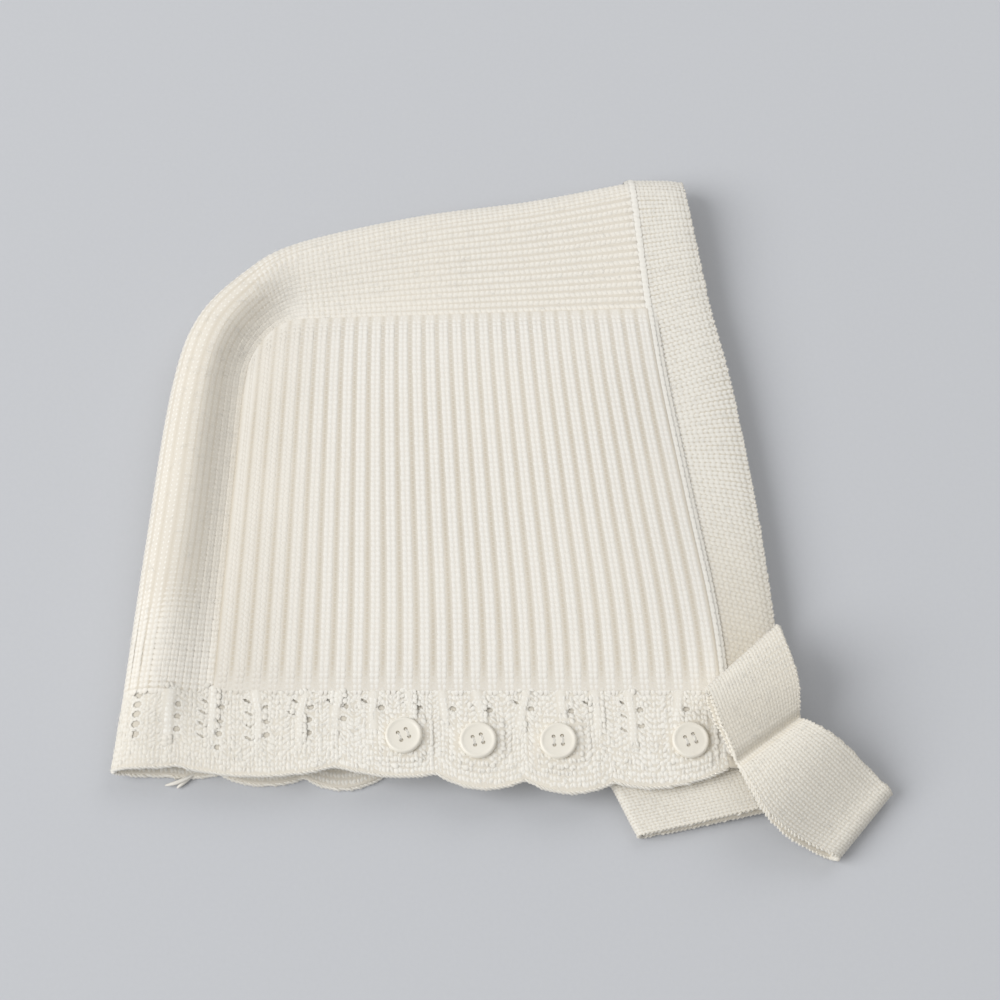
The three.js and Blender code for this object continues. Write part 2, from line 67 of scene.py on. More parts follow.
def fromTable(rows, column, at):
    # smooth curve through one column of a table, by the table's first column
    at = np.asarray(at, float)
    keys = np.array([row[0] for row in rows], float)
    values = np.array([row[column] for row in rows], float)
    last = len(rows) - 1
    i = np.clip(np.searchsorted(keys, at) - 1, 0, last - 1)
    before = np.maximum(i - 1, 0)
    after = np.minimum(i + 2, last)
    span = keys[i + 1] - keys[i]
    slopeIn = (values[i + 1] - values[before]) / (keys[i + 1] - keys[before]) * span
    slopeOut = (values[after] - values[i]) / (keys[after] - keys[i]) * span
    rise = values[i + 1] - values[i]
    t = (at - keys[i]) / span
    bend = (slopeIn + slopeOut - 2 * rise) * t + 3 * rise - 2 * slopeIn - slopeOut
    return values[i] + t * (slopeIn + t * bend)


def linearColour(red, green, blue):
    # a colour picked on screen, as the shader wants it
    parts = [c / 255 for c in (red, green, blue)]
    return tuple(c / 12.92 if c < 0.04045 else ((c + 0.055) / 1.055) ** 2.4 for c in parts) + (1.0,)


def meshOf(bm, name):
    mesh = bpy.data.meshes.new(name)
    bm.to_mesh(mesh)
    bm.free()
    return mesh


def addObject(name, data):
    made = bpy.data.objects.new(name, data)
    bpy.context.scene.collection.objects.link(made)
    return made


# camera, floor and light

stage = {
    "lens": 85.0,
    "sensor": 36.0,
    "aim": (-0.0005, 0.0028, 0.0),
    "distance": 0.615,
    "elevation": 68.0,
    "floorSize": 6.0,
    "floorColour": (201, 203, 207),
    "floorGrain": (900.0, 3.0),  # scale in a metre and detail
    "floorDarker": 0.96,  # the darker grains, as a share of the floor's colour
    "floorRoughness": 0.9,
    "floorSpecular": 0.2,
    "keyPlace": (-2.20, -0.45, 1.90),
    "keySize": 2.4,
    "keyPower": 64.0,
    "fillPlace": (0.55, 0.75, 0.90),
    "fillSize": 0.9,
    "fillPower": 2.8,
    "skyColour": (1.0, 1.0, 1.0, 1.0),
    "skyStrength": 0.46,
}


def faceAlong(item, direction):
    item.rotation_mode = "QUATERNION"
    item.rotation_quaternion = direction.to_track_quat("-Z", "Y")


def addLight(name, place, size, power):
    light = bpy.data.lights.new(name, "AREA")
    light.shape = "DISK"
    light.size = size
    light.energy = power
    lamp = addObject(name, light)
    lamp.location = place
    faceAlong(lamp, -Vector(place))


def addStage():
    scene = bpy.context.scene
    camera = bpy.data.cameras.new("camera")
    camera.lens = stage["lens"]
    camera.sensor_width = stage["sensor"]
    tilt = math.radians(stage["elevation"])
    back = Vector((0, -math.cos(tilt), math.sin(tilt)))
    scene.camera = addObject("camera", camera)
    scene.camera.location = Vector(stage["aim"]) + back * stage["distance"]
    faceAlong(scene.camera, -back)
    addLight("key", stage["keyPlace"], stage["keySize"], stage["keyPower"])
    addLight("fill", stage["fillPlace"], stage["fillSize"], stage["fillPower"])
    sky = bpy.data.worlds.new("sky")
    sky.use_nodes = True
    background = sky.node_tree.nodes["Background"]
    background.inputs["Strength"].default_value = stage["skyStrength"]
    background.inputs["Color"].default_value = stage["skyColour"]
    scene.world = sky
    scene.view_settings.view_transform = "Standard"


# materials

class Val:
    # a shader value that can be added, multiplied and so on
    def __init__(self, finish, socket):
        self.finish = finish
        self.socket = socket

    def maths(self, operation, a, b):
        return self.finish.node("ShaderNodeMath", {"operation": operation}, {0: a, 1: b})

    def __add__(self, other):
        return self.maths("ADD", self, other)

    def __radd__(self, other):
        return self.maths("ADD", other, self)

    def __sub__(self, other):
        return self.maths("SUBTRACT", self, other)

    def __rsub__(self, other):
        return self.maths("SUBTRACT", other, self)

    def __mul__(self, other):
        return self.maths("MULTIPLY", self, other)

    def __rmul__(self, other):
        return self.maths("MULTIPLY", other, self)


class Finish:
    # a material and the one way that its nodes are added
    def __init__(self, name):
        self.material = bpy.data.materials.new(name)
        self.material.use_nodes = True
        self.tree = self.material.node_tree
        self.tree.nodes.clear()
        self.place = self.node("ShaderNodeTexCoord", {}, {}, "Object")

    def node(self, kind, settings=None, sockets=None, out=0):
        made = self.tree.nodes.new(kind)
        for key, value in (settings or {}).items():
            setattr(made, key, value)
        for key, value in (sockets or {}).items():
            if isinstance(value, Val):
                self.tree.links.new(value.socket, made.inputs[key])
            else:
                made.inputs[key].default_value = value
        return Val(self, made.outputs[out]) if made.outputs else None

    def noise(self, scale, detail, roughness=0.55, twist=0.0):
        sockets = {"Vector": self.place, "Scale": scale, "Detail": detail,
                   "Roughness": roughness, "Distortion": twist}
        return self.node("ShaderNodeTexNoise", {}, sockets, "Fac")

    def mixColour(self, share, a, b):
        return self.node("ShaderNodeMix", {"data_type": "RGBA"}, {0: share, 6: a, 7: b}, 2)

    def bump(self, strength, distance, height):
        sockets = {"Strength": strength, "Distance": distance, "Height": height}
        return self.node("ShaderNodeBump", {}, sockets, "Normal")

    def surface(self, sockets):
        shader = self.node("ShaderNodeBsdfPrincipled", {}, sockets, "BSDF")
        self.node("ShaderNodeOutputMaterial", {}, {"Surface": shader})
        return self.material


wool = {
    "crest": (250, 248, 243),  # top of the yarn
    "valley": (205, 195, 177),  # painted shade between the stitches
    "warm": (245, 239, 227),  # slow uneven tint
    "warmShare": (0.45, 0.08),  # how strongly it varies, and how much of it is held back
    "patches": (45.0, 2.0),  # scale in a metre and detail of the uneven tint
    "fibres": (2600.0, 3.0, 0.7),  # scale, detail and roughness
    "loops": (1000.0, 2.0, 0.5, 2.2),  # curled fibres: scale, detail, roughness and twist
    "paleness": (0.9, 0.2, 0.25, 0.16),  # by height in the knit (painted shade low down, painted light on top), fibres and loops, and what is taken off
    "clothBump": (0.35, 0.65, 0.0),  # fibres, loops and the yarn's turns
    "yarnBump": (0.4, 0.3, 0.3),
    "bumpStrength": 0.6,
    "bumpHeight": 0.00014,
    "turnScale": 1.0,
    "turns": (4.0, 1.5),  # of the yarn, round a stitch and along it
    "roughness": (0.8, 0.15),  # least, and what the fibres add
    "specular": 0.2,
    "sheen": 0.3,
    "sheenRoughness": 0.45,
    "softness": 0.68,  # how far a stitch is shaded like the cloth that it lies on
    "rounding": 0.45,  # painted light: how much paler the top of a stitch is than its sides
}


def woolFinish(name, tint, twisted):
    # cream wool with painted shade: darker in the valleys and paler on the crests, with fibres and, on the
    # stitches, the yarn's turns
    f = Finish(name)
    relief = f.node("ShaderNodeAttribute", {"attribute_name": "relief"}, {}, "Fac")
    patches, fibres, loops = [f.noise(*wool[key]) for key in ("patches", "fibres", "loops")]
    byHeight, byFibres, byLoops, takenOff = wool["paleness"]
    shade = relief * byHeight + fibres * byFibres + loops * byLoops - takenOff
    tinted = [tuple(c * k for c, k in zip(wool[key], tint)) for key in ("crest", "valley", "warm")]
    crest, valley, warm = [linearColour(*colour) for colour in tinted]
    lit = f.node("ShaderNodeClamp", {}, {"Value": shade}, "Result")
    varied, heldBack = wool["warmShare"]
    colour = f.mixColour(patches * varied - heldBack, f.mixColour(lit, valley, crest), warm)
    bumpFibres, bumpLoops, bumpTurns = wool["yarnBump"] if twisted else wool["clothBump"]
    height = fibres * bumpFibres + loops * bumpLoops
    if twisted:
        yarn = f.node("ShaderNodeUVMap", {"uv_map": "yarn"}, {}, "UV")
        wave = {"Vector": yarn, "Scale": wool["turnScale"]}
        turns = f.node("ShaderNodeTexWave", {"bands_direction": "DIAGONAL"}, wave, "Fac")
        height = height + turns * bumpTurns
    leastRough, rougher = wool["roughness"]
    sockets = {
        "Base Color": colour,
        "Roughness": fibres * rougher + leastRough,
        "Normal": f.bump(wool["bumpStrength"], wool["bumpHeight"], height),
        "Sheen Weight": wool["sheen"],
        "Sheen Roughness": wool["sheenRoughness"],
        "Specular IOR Level": wool["specular"],
    }
    return f.surface(sockets)


pearl = {
    "pale": (241, 237, 226),
    "deep": (234, 228, 215),
    "clouds": (240.0, 3.0),  # scale in a metre and detail
    "specks": (1500.0, 2.0),
    "bumpStrength": 0.15,
    "bumpHeight": 0.0001,
    "roughness": (0.28, 0.15),  # least, and what the specks add
    "coat": 0.15,
}


def pearlFinish():
    # softly polished cream button
    f = Finish("button_shell")
    clouds, specks = [f.noise(*pearl[key]) for key in ("clouds", "specks")]
    leastRough, rougher = pearl["roughness"]
    sockets = {
        "Base Color": f.mixColour(clouds, linearColour(*pearl["pale"]), linearColour(*pearl["deep"])),
        "Roughness": specks * rougher + leastRough,
        "Normal": f.bump(pearl["bumpStrength"], pearl["bumpHeight"], specks),
        "Coat Weight": pearl["coat"],
    }
    return f.surface(sockets)


def floorFinish():
    f = Finish("pale_floor")
    grain = f.noise(*stage["floorGrain"])
    pale = linearColour(*stage["floorColour"])
    darker = tuple(c * stage["floorDarker"] for c in pale[:3]) + (1.0,)
    colour = f.mixColour(grain, pale, darker)
    return f.surface({"Base Color": colour, "Roughness": stage["floorRoughness"],
                      "Specular IOR Level": stage["floorSpecular"]})


def addFloor():
    bm = bmesh.new()
    bmesh.ops.create_grid(bm, x_segments=2, y_segments=2, size=stage["floorSize"] / 2)
    mesh = meshOf(bm, "floor")
    mesh.materials.append(floorFinish())
    addObject("floor", mesh)


# knitting tools

knit = {
    "slopeStep": 0.0015,  # share over which a cloth's slope is taken
    "measureSteps": 500,
    "insideTone": 0.35,  # of a cloth's inner face
    "loose": 0.03,  # how uneven stitches are
    "wrapFrom": 0.08,  # whip stitches: share of a half turn where one starts, and its length
    "wrapSpan": 0.84,
    "wrapLoose": (0.1, 0.04),  # how uneven they are off the edge and along it
    "wrapTone": (0.45, 0.5, 0.4),  # painted shade and light of a whip stitch: at the ends, what the middle adds, and the rounding
    "rimPull": 0.2,  # nearest to an eyelet's middle that a point may be to be pulled out
}


class Cloth:
    # a knitted surface, given by its shares across and along, and its outward side
    def __init__(self, surface, outward):
        self.surface = surface
        self.outward = outward

    def slopes(self, u, v):
        s = knit["slopeStep"]
        across = (self.surface(u + s, v) - self.surface(u - s, v)) / (2 * s)
        along = (self.surface(u, v + s) - self.surface(u, v - s)) / (2 * s)
        return across, along

    def facing(self, u, v):
        across, along = self.slopes(u, v)
        normal = np.cross(across, along) * self.outward
        return normal / np.maximum(np.linalg.norm(normal, axis=-1, keepdims=True), 1e-9)

    def at(self, u, v, lift):
        return self.surface(u, v) + self.facing(u, v) * np.asarray(lift)[..., None]

    def sharePerMm(self, u, v):
        across, along = self.slopes(u, v)
        return 1 / np.linalg.norm(across, axis=-1), 1 / np.linalg.norm(along, axis=-1)

    def courses(self, u, tall, low=0.0, high=1.0):
        # stitches evenly spaced by length along one wale, and their true height
        v = np.linspace(low, high, knit["measureSteps"])
        points = self.surface(np.full_like(v, u), v)
        steps = np.linalg.norm(np.diff(points, axis=0), axis=1)
        length = np.concatenate([[0.0], np.cumsum(steps)])
        count = max(1, round(length[-1] / tall))
        at = (np.arange(count) + 0.5) / count * length[-1]
        return np.interp(at, length, v), length[-1] / count


def beanShape(sides, rings):
    # one plump leg of yarn as a small closed ball, to be bent and repeated
    bm = bmesh.new()
    bmesh.ops.create_uvsphere(bm, u_segments=sides, v_segments=rings + 1, radius=1.0)
    bm.verts.index_update()
    points = np.array([vert.co for vert in bm.verts])
    faces = [[vert.index for vert in face.verts] for face in bm.faces]
    bm.free()
    return {"points": points, "faces": faces}


fineBean = beanShape(5, 3)
bean = beanShape(4, 3)
plainBean = beanShape(4, 2)
fibreBean = beanShape(3, 2)
tailBean = beanShape(8, 9)


class YarnPile:
    # many small closed shapes, joined into one mesh
    def __init__(self, softness=wool["softness"]):
        self.softness = softness
        self.points = []
        self.corners = []
        self.sizes = []
        self.relief = []
        self.chart = []
        self.twist = []
        self.facing = []
        self.count = 0

    def add(self, points, shape, relief, chart, facing=None):
        copies, corners = points.shape[:2]
        faces = shape["faces"]
        apart = points[0] - points[0].mean(0)
        volume = sum(np.dot(apart[f[0]], np.cross(apart[f[i]], apart[f[i + 1]]))
                     for f in faces for i in range(1, len(f) - 1))
        if volume < 0:
            faces = [face[::-1] for face in faces]
        flat = np.concatenate(faces)
        # the underside of a stitch has its own half of the chart
        under = np.concatenate([[shape["points"][f, 1].mean() < -0.01] * len(f) for f in faces])
        starts = self.count + np.arange(copies)[:, None] * corners
        self.corners.append((starts + flat[None, :]).ravel())
        self.sizes.append(np.tile([len(face) for face in faces], copies))
        self.points.append(points.reshape(-1, 3))
        self.relief.append(np.broadcast_to(relief, points.shape[:2]).ravel())
        places = chart[:, flat, :].copy()
        places[..., 1] = np.clip(places[..., 1], 0, 1) * 0.5 + under * 0.5
        self.chart.append(places.reshape(-1, 2))
        bx, by, bz = shape["points"].T
        roundTurns, alongTurns = wool["turns"]
        aroundIt = np.arctan2(bx, by) / (2 * np.pi)
        twist = np.stack([aroundIt * roundTurns + bz * alongTurns, bz], -1)
        self.twist.append(np.tile(twist[flat], (copies, 1)))
        facing = np.zeros((copies, 3)) if facing is None else facing
        self.facing.append(np.repeat(facing, corners, axis=0))
        self.count += copies * corners

    def lay(self, cloth, u, v, shape, across, along, height, relief):
        # shapes on the cloth: across and along in millimetres round each place, lifted off it
        perU, perV = cloth.sharePerMm(u, v)
        placeU = u[:, None] + across * perU[:, None]
        placeV = v[:, None] + along * perV[:, None]
        chart = np.stack([placeU, placeV], -1)
        self.add(cloth.at(placeU, placeV, height), shape, relief, chart, cloth.facing(u, v))

    def piece(self, name, finish, slot):
        points = np.concatenate(self.points) * mm
        points[:, 2] = np.maximum(points[:, 2], 0)  # flat where it rests
        corners = np.concatenate(self.corners)
        sizes = np.concatenate(self.sizes)
        mesh = bpy.data.meshes.new(name)
        mesh.vertices.add(len(points))
        mesh.vertices.foreach_set("co", points.ravel())
        mesh.loops.add(len(corners))
        mesh.loops.foreach_set("vertex_index", corners)
        mesh.polygons.add(len(sizes))
        mesh.polygons.foreach_set("loop_start", np.concatenate([[0], np.cumsum(sizes)[:-1]]))
        mesh.update(calc_edges=True)
        mesh.validate()
        addMaps(mesh, np.concatenate(self.relief), np.concatenate(self.chart), np.concatenate(self.twist))
        soften(mesh, np.concatenate(self.facing), self.softness)
        return addPiece(name, mesh, finish)


def soften(mesh, facing, softness):
    # fuzz evens out the light on the knit, so its normals lean to the side that the cloth faces
    normals = np.zeros(len(mesh.vertices) * 3, np.float32)
    mesh.vertex_normals.foreach_get("vector", normals)
    normals = normals.reshape(-1, 3)
    leaning = between(normals, facing, softness)
    leaning = np.where(np.any(facing, axis=1, keepdims=True), leaning, normals)
    leaning = leaning / np.linalg.norm(leaning, axis=1, keepdims=True)
    mesh.normals_split_custom_set_from_vertices(leaning)


def addMaps(mesh, relief, chart, pattern):
    # how high a point stands in the knit, the OFBake map over the cloth, and the pattern's own map
    # the relief sets the painted shade of the wool: darker low in the knit, paler on top
    mesh.attributes.new("relief", "FLOAT", "POINT").data.foreach_set("value", relief.astype(np.float32))
    mesh.uv_layers.new(name="yarn").data.foreach_set("uv", pattern.astype(np.float32).ravel())
    mesh.uv_layers.new(name="OFBake").data.foreach_set("uv", chart.astype(np.float32).ravel())
    mesh.polygons.foreach_set("use_smooth", [True] * len(mesh.polygons))


def addPiece(name, mesh, finish):
    mesh.materials.append(finish)
    piece = addObject(name, mesh)
    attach(piece, "root")
    mesh.calc_loop_triangles()
    print("made", name, len(mesh.loop_triangles), "triangles")
    return piece


def perStitch(value, count, copies=1):
    return np.tile(np.broadcast_to(value, count), copies)[:, None]


def turned(across, along, lean):
    turnCos, turnSin = np.cos(lean), np.sin(lean)
    return across * turnCos - along * turnSin, across * turnSin + along * turnCos


def yarnHeight(size, lift, arch, by):
    return lift - size["tuck"] + (size["rise"] + size["tuck"]) * arch + by * size["plump"]


def yarnRelief(size, low, high, arch, by):
    # painted shade and light: a stitch is darker at its ends and sides, paler along its top
    rounding = size.get("rounding", wool["rounding"])
    return low + (high - low) * arch * (1 - rounding + rounding * by)


def flush(size):
    # lift that brings the tops of the stitches level with the cloth's outer face
    return -size["rise"] - size["plump"]


def layStitches(pile, cloth, u, v, shape, size, lift=0.0, lean=0.0, loose=knit["loose"]):
    # a V of two legs at each place
    count = len(v)
    u = np.broadcast_to(u, count)
    side = np.repeat([1.0, -1.0], count)[:, None]
    bx, by, bz = shape["points"].T
    t = (bz + 1) / 2
    wanted = (size["tall"], size["wide"], lift, lean, *size["tone"])
    tall, wide, lift, lean, low, high = [perStitch(value, count, 2) for value in wanted]
    start, end = size["splay"]
    slant = np.arctan2((end - start) * wide, size["reach"] * tall)
    thick = size["yarn"] * (1 + dice.normal(0, loose * 2, (2 * count, 1)))
    middle = (start + (end - start) * t) * wide + dice.normal(0, loose, (2 * count, 1))
    across = side * middle + bx * thick * np.cos(slant)
    along = (t - 0.5) * size["reach"] * tall - side * bx * thick * np.sin(slant)
    along = along + dice.normal(0, loose, (2 * count, 1))
    arch = 1 - bz ** 2
    height = yarnHeight(size, lift, arch, by)
    across, along = turned(across, along, lean)
    relief = yarnRelief(size, low, high, arch, by)
    pile.lay(cloth, np.tile(u, 2), np.tile(v, 2), shape, across, along, height, relief)


def layStrands(pile, cloth, u, v, shape, size, lean, lift=0.0):
    # single strands of yarn lying on the cloth, turned by lean from its length
    count = len(v)
    u = np.broadcast_to(u, count)
    bx, by, bz = shape["points"].T
    wanted = (size["long"], lift, lean, *size["tone"])
    long, lift, lean, low, high = [perStitch(value, count) for value in wanted]
    arch = 1 - bz ** 2
    across, along = turned(bx * size["yarn"], bz / 2 * long, lean)
    relief = yarnRelief(size, low, high, arch, by)
    pile.lay(cloth, u, v, shape, across, along, yarnHeight(size, lift, arch, by), relief)


def wrapEdge(pile, cloth, u, v, off, wall, shape, size):
    # whip stitches round a raw edge: off is the direction off the edge, across and along
    count = max(np.size(u), np.size(v))
    u, v = np.broadcast_to(u, count), np.broadcast_to(v, count)
    bx, by, bz = shape["points"].T
    t = (bz + 1) / 2
    turn = np.pi * (knit["wrapFrom"] + knit["wrapSpan"] * t)
    looseOff, looseAlong = knit["wrapLoose"]
    bulge = size["bulge"] + dice.normal(0, looseOff, (count, 1))
    offEdge = bulge * np.sin(turn) - size["inset"] + by * size["yarn"] * np.sin(turn)
    half = wall / 2
    height = size["lift"] - half + half * np.cos(turn) + by * size["yarn"] * np.cos(turn)
    sideways = bx * size["yarn"] + (t - 0.5) * size["slant"] + dice.normal(0, looseAlong, (count, 1))
    perU, perV = cloth.sharePerMm(u, v)
    placeU = u[:, None] + (offEdge * off[0] - sideways * off[1]) * perU[:, None]
    placeV = v[:, None] + (offEdge * off[1] + sideways * off[0]) * perV[:, None]
    # the cloth isn't carried on past its edge, so the stitch is moved off it straight
    edgeU = u[:, None] + (-sideways * off[1]) * perU[:, None]
    edgeV = v[:, None] + (sideways * off[0]) * perV[:, None]
    across, along = cloth.slopes(edgeU, edgeV)
    away = across * (off[0] * perU)[:, None, None] + along * (off[1] * perV)[:, None, None]
    away /= np.linalg.norm(away, axis=-1, keepdims=True)
    points = cloth.at(edgeU, edgeV, height) + away * offEdge[..., None]
    ends, middle, rounding = knit["wrapTone"]
    relief = np.clip(ends + middle * np.sin(turn) * (1 - rounding + rounding * by), 0, 1) + 0 * height
    pile.add(points, shape, relief, np.stack([placeU, placeV], -1))


def overCloth(value, u, v):
    # a number that holds all over the cloth, or a function of the place
    return value(u, v) if callable(value) else np.full_like(u, value)


def knitSheet(name, cloth, grid, sides, relief, finish, eyelets=(), softness=wool["softness"]):
    # cloth with a thickness: its grid is shares across and along, its sides the outer and the inner face
    columns, rows = grid
    bm = bmesh.new()
    across, along = len(columns) - 1, len(rows) - 1
    bmesh.ops.create_grid(bm, x_segments=across, y_segments=along, size=0.5)
    for vert in bm.verts:
        vert.co.x = columns[round((vert.co.x + 0.5) * across)]
        vert.co.y = rows[round((vert.co.y + 0.5) * along)]
    cutEyelets(bm, cloth, eyelets)
    raised = bmesh.ops.extrude_face_region(bm, geom=bm.faces[:], use_keep_orig=True)
    outer = {item for item in raised["geom"] if isinstance(item, bmesh.types.BMVert)}
    bm.verts.index_update()
    u = np.array([vert.co.x for vert in bm.verts])
    v = np.array([vert.co.y for vert in bm.verts])
    isOuter = np.array([vert in outer for vert in bm.verts])
    top, bottom = [overCloth(side, u, v) for side in sides]
    for vert, place in zip(bm.verts, cloth.at(u, v, np.where(isOuter, top, bottom)) * mm):
        vert.co = place
    bmesh.ops.recalc_face_normals(bm, faces=bm.faces[:])
    mesh = meshOf(bm, name)
    corners = np.zeros(len(mesh.loops), int)
    mesh.loops.foreach_get("vertex_index", corners)
    sizes = np.zeros(len(mesh.polygons), int)
    mesh.polygons.foreach_get("loop_total", sizes)
    face = np.repeat(np.arange(len(sizes)), sizes)
    inside = (np.bincount(face, isOuter[corners]) == 0)[face]
    chart = np.stack([u[corners], v[corners] * 0.5 + 0.5 * inside], -1)
    addMaps(mesh, np.where(isOuter, overCloth(relief, u, v), knit["insideTone"]), chart, chart)
    soften(mesh, cloth.facing(u, v) * isOuter[:, None], softness)
    return addPiece(name, mesh, finish)


def cutEyelets(bm, cloth, eyelets):
    # open a slanted oval hole at each eyelet and pull the cells round it onto its rim
    faces = list(bm.faces)
    centres = np.array([face.calc_center_median()[:2] for face in faces])
    for hole in eyelets:
        inside = insideEyelet(cloth, hole, centres[:, 0], centres[:, 1]) < 1
        gone = [faces[i] for i in np.flatnonzero(inside) if faces[i].is_valid]
        rim = {vert for face in gone for vert in face.verts}
        bmesh.ops.delete(bm, geom=gone, context="FACES")
        middle = Vector((hole["u"], hole["v"], 0))
        for vert in rim:
            if vert.is_valid:
                away = insideEyelet(cloth, hole, np.array([vert.co.x]), np.array([vert.co.y]))[0]
                vert.co = middle + (vert.co - middle) / max(away, knit["rimPull"])


def insideEyelet(cloth, hole, u, v):
    # under 1 inside the eyelet's oval, 1 on its rim
    perU, perV = cloth.sharePerMm(np.array([hole["u"]]), np.array([hole["v"]]))
    across = (u - hole["u"]) / perU[0]
    along = (v - hole["v"]) / perV[0]
    long, short = turned(across, along, -hole["slant"])
    return np.hypot(long / (hole["width"] / 2), short / (hole["height"] / 2))


# side panels

panel = {
    "hemLine": -52.4,
    "backSeamX": -71.6,
    "backLean": 0.0515,
    "cornerStart": 31.2,
    "cornerRise": 19.0,
    "cornerShare": 0.133,
    "topRise": 3.1,
    "puff": 2.2,
    "wall": 1.9,
    "ribs": 30,
    "ribColumns": 6,
    "restingRibs": 0.6,  # how far the lower panel's valleys stand off the surface
    "upper": {"rows": 44, "course": 1.36, "ribHeight": 1.02, "shape": fineBean, "purled": True},
    # the lower panel lies hidden and is made more plainly
    "lower": {"rows": 20, "course": 2.2, "ribHeight": 0.6, "shape": fibreBean, "purled": False},
    "valleyDrop": 0.26,  # how far below the stitches the cloth lies between the ribs
    "crestDrop": 0.12,  # and under them
    "ribEdge": (0.25, 0.46),  # where a rib ends and its valley starts, from its middle
    "ribFoot": (-0.02, 0.06),  # shares of the height over which the ribs rise from the hem
    "ribHead": (0.94, 1.0),  # and sink towards the strip
    "ribFade": 0.4,
    "ribEnd": 0.995,  # share of the height where a rib's stitches end
    "overlap": 0.034,  # how far the ribs run on into the hem
    "overlapSink": 0.5,
    "flatSize": (0.121, 0.106),
    "softness": 0.84,
    "stitch": {"wide": 2.6, "splay": (0.2, 0.26), "reach": 1.75,
               "yarn": 0.62, "plump": 0.16, "rise": 0.04, "tuck": 0.04, "rounding": 0.7},
    # tones of the relief: painted shade in the valleys, painted light on the crests
    "tone": (0.5, 0.98),
    "backShade": 0.36,  # painted shade: how much darker it is where it dips towards the back seam
    "backFade": (0.0, 0.3),
    "footTone": 0.45,  # of the cloth, at the hem
    "crestTone": 0.6,
    "valleyTone": -0.12,
    "valleyFade": (0.0, 0.07),  # shares of the height over which the painted shade in the valleys deepens
    "headTone": 0.25,
    "headFade": (0.7, 1.0),  # shares of the height over which that painted shade lifts again
    "purl": {"long": 1.5, "yarn": 0.42, "plump": 0.18, "rise": 0.06, "tuck": 0.1},
    "purlTone": (0.0, 0.4),
    "purlHemTone": (0.4, 0.7),  # what the valleys fade to at the hem
    "purlSpan": (0.006, 0.994),  # shares of the width where the first and the last valley lie
    "purlEnd": 0.99,
    "purlSink": 0.08,
}

# height, seam and outer edge of the face band
bandRows = [
    (-70.0, 55.6, 70.5),
    (-35.0, 52.7, 68.5),
    (0.0, 46.7, 64.9),
    (33.0, 41.1, 59.7),
    (53.0, 38.6, 55.4),
    (93.5, 34.4, 48.4),
]


def bandSeamX(y):
    return fromTable(bandRows, 1, y)


def backSeamX(y):
    return panel["backSeamX"] + (y - panel["hemLine"]) * panel["backLean"]


def panelTopY(share):
    beyond = share - panel["cornerShare"]
    turn = np.clip(-beyond / panel["cornerShare"], 0, 1)
    rise = panel["cornerRise"] * np.sqrt(1 - turn ** 2)
    return panel["cornerStart"] + rise + panel["topRise"] * np.maximum(beyond, 0) / (1 - panel["cornerShare"])


def panelPlan(share, up):
    y = between(panel["hemLine"] + seamGap / 2, panelTopY(share) - seamGap, up)
    x = between(backSeamX(y) + seamGap, bandSeamX(y) - seamGap, share)
    return x, y


def upperPanel(share, up):
    x, y = panelPlan(share, up)
    swell = (1 - (2 * share - 1) ** 4) * (1 - (2 * np.clip(up, 0, 1) - 1) ** 4)
    return np.stack([x, y, seamTop + panel["puff"] * swell], -1)


def lowerPanel(share, up):
    x, y = panelPlan(share, up)
    return np.stack([x, y, panel["restingRibs"] + 0 * x], -1)


def ribBump(share):
    # 1 along a rib's crest, 0 in the valley beside it
    aside = np.abs((share * panel["ribs"]) % 1 - 0.5)
    return 1 - ease(aside, *panel["ribEdge"])


def addPanel(name, cloth, make, finishes):
    highest = make["ribHeight"]
    valley = highest - panel["valleyDrop"]
    crest = highest - panel["crestDrop"]

    def risen(v):
        inside = ease(v, *panel["ribFoot"]) * (1 - ease(v, *panel["ribHead"]))
        return between(panel["ribFade"], 1, inside)

    def paler(v):
        return panel["headTone"] * ease(v, *panel["headFade"])

    def top(u, v):
        return between(valley, crest, ribBump(u)) * risen(v)

    def relief(u, v):
        # painted shade in the valleys, paler at the hem and towards the strip
        ribbed = between(panel["valleyTone"] + paler(v), panel["crestTone"], ribBump(u))
        return between(panel["footTone"], ribbed, ease(v, *panel["valleyFade"]))

    grid = evenly(panel["ribs"] * panel["ribColumns"]), evenly(make["rows"])
    base = knitSheet(name + "_knit", cloth, grid, (top, -panel["wall"]), relief,
                     finishes["cloth"], (), panel["softness"])
    pile = YarnPile(panel["softness"])
    size = dict(panel["stitch"])
    for rib in range(panel["ribs"]):
        share = (rib + 0.5) / panel["ribs"]
        up, size["tall"] = cloth.courses(share, make["course"], -panel["overlap"], panel["ribEnd"])
        sunk = panel["overlapSink"] * ease(-up, 0, panel["overlap"])
        # painted shade towards the back seam
        darker = panel["backShade"] * (1 - ease(share, *panel["backFade"]))
        size["tone"] = [part - darker for part in panel["tone"]]
        layStitches(pile, cloth, share, up, make["shape"], size, highest * risen(up) + flush(size) - sunk)
    valleys = panel["ribs"] + 1 if make["purled"] else 0
    for rib in range(valleys):
        share = np.clip(rib / panel["ribs"], *panel["purlSpan"])
        up = cloth.courses(share, make["course"], 0.0, panel["purlEnd"])[0]
        tone = blend(panel["purlHemTone"], panel["purlTone"], ease(up, *panel["valleyFade"]))
        purl = dict(panel["purl"], tone=[part + paler(up) for part in tone])
        layStrands(pile, cloth, share, up, plainBean, purl, np.pi / 2, valley * risen(up) - panel["purlSink"])
    stitches = pile.piece(name + "_stitches", finishes["yarn"], "rib_knit")
    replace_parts(base, name)


# crown strip

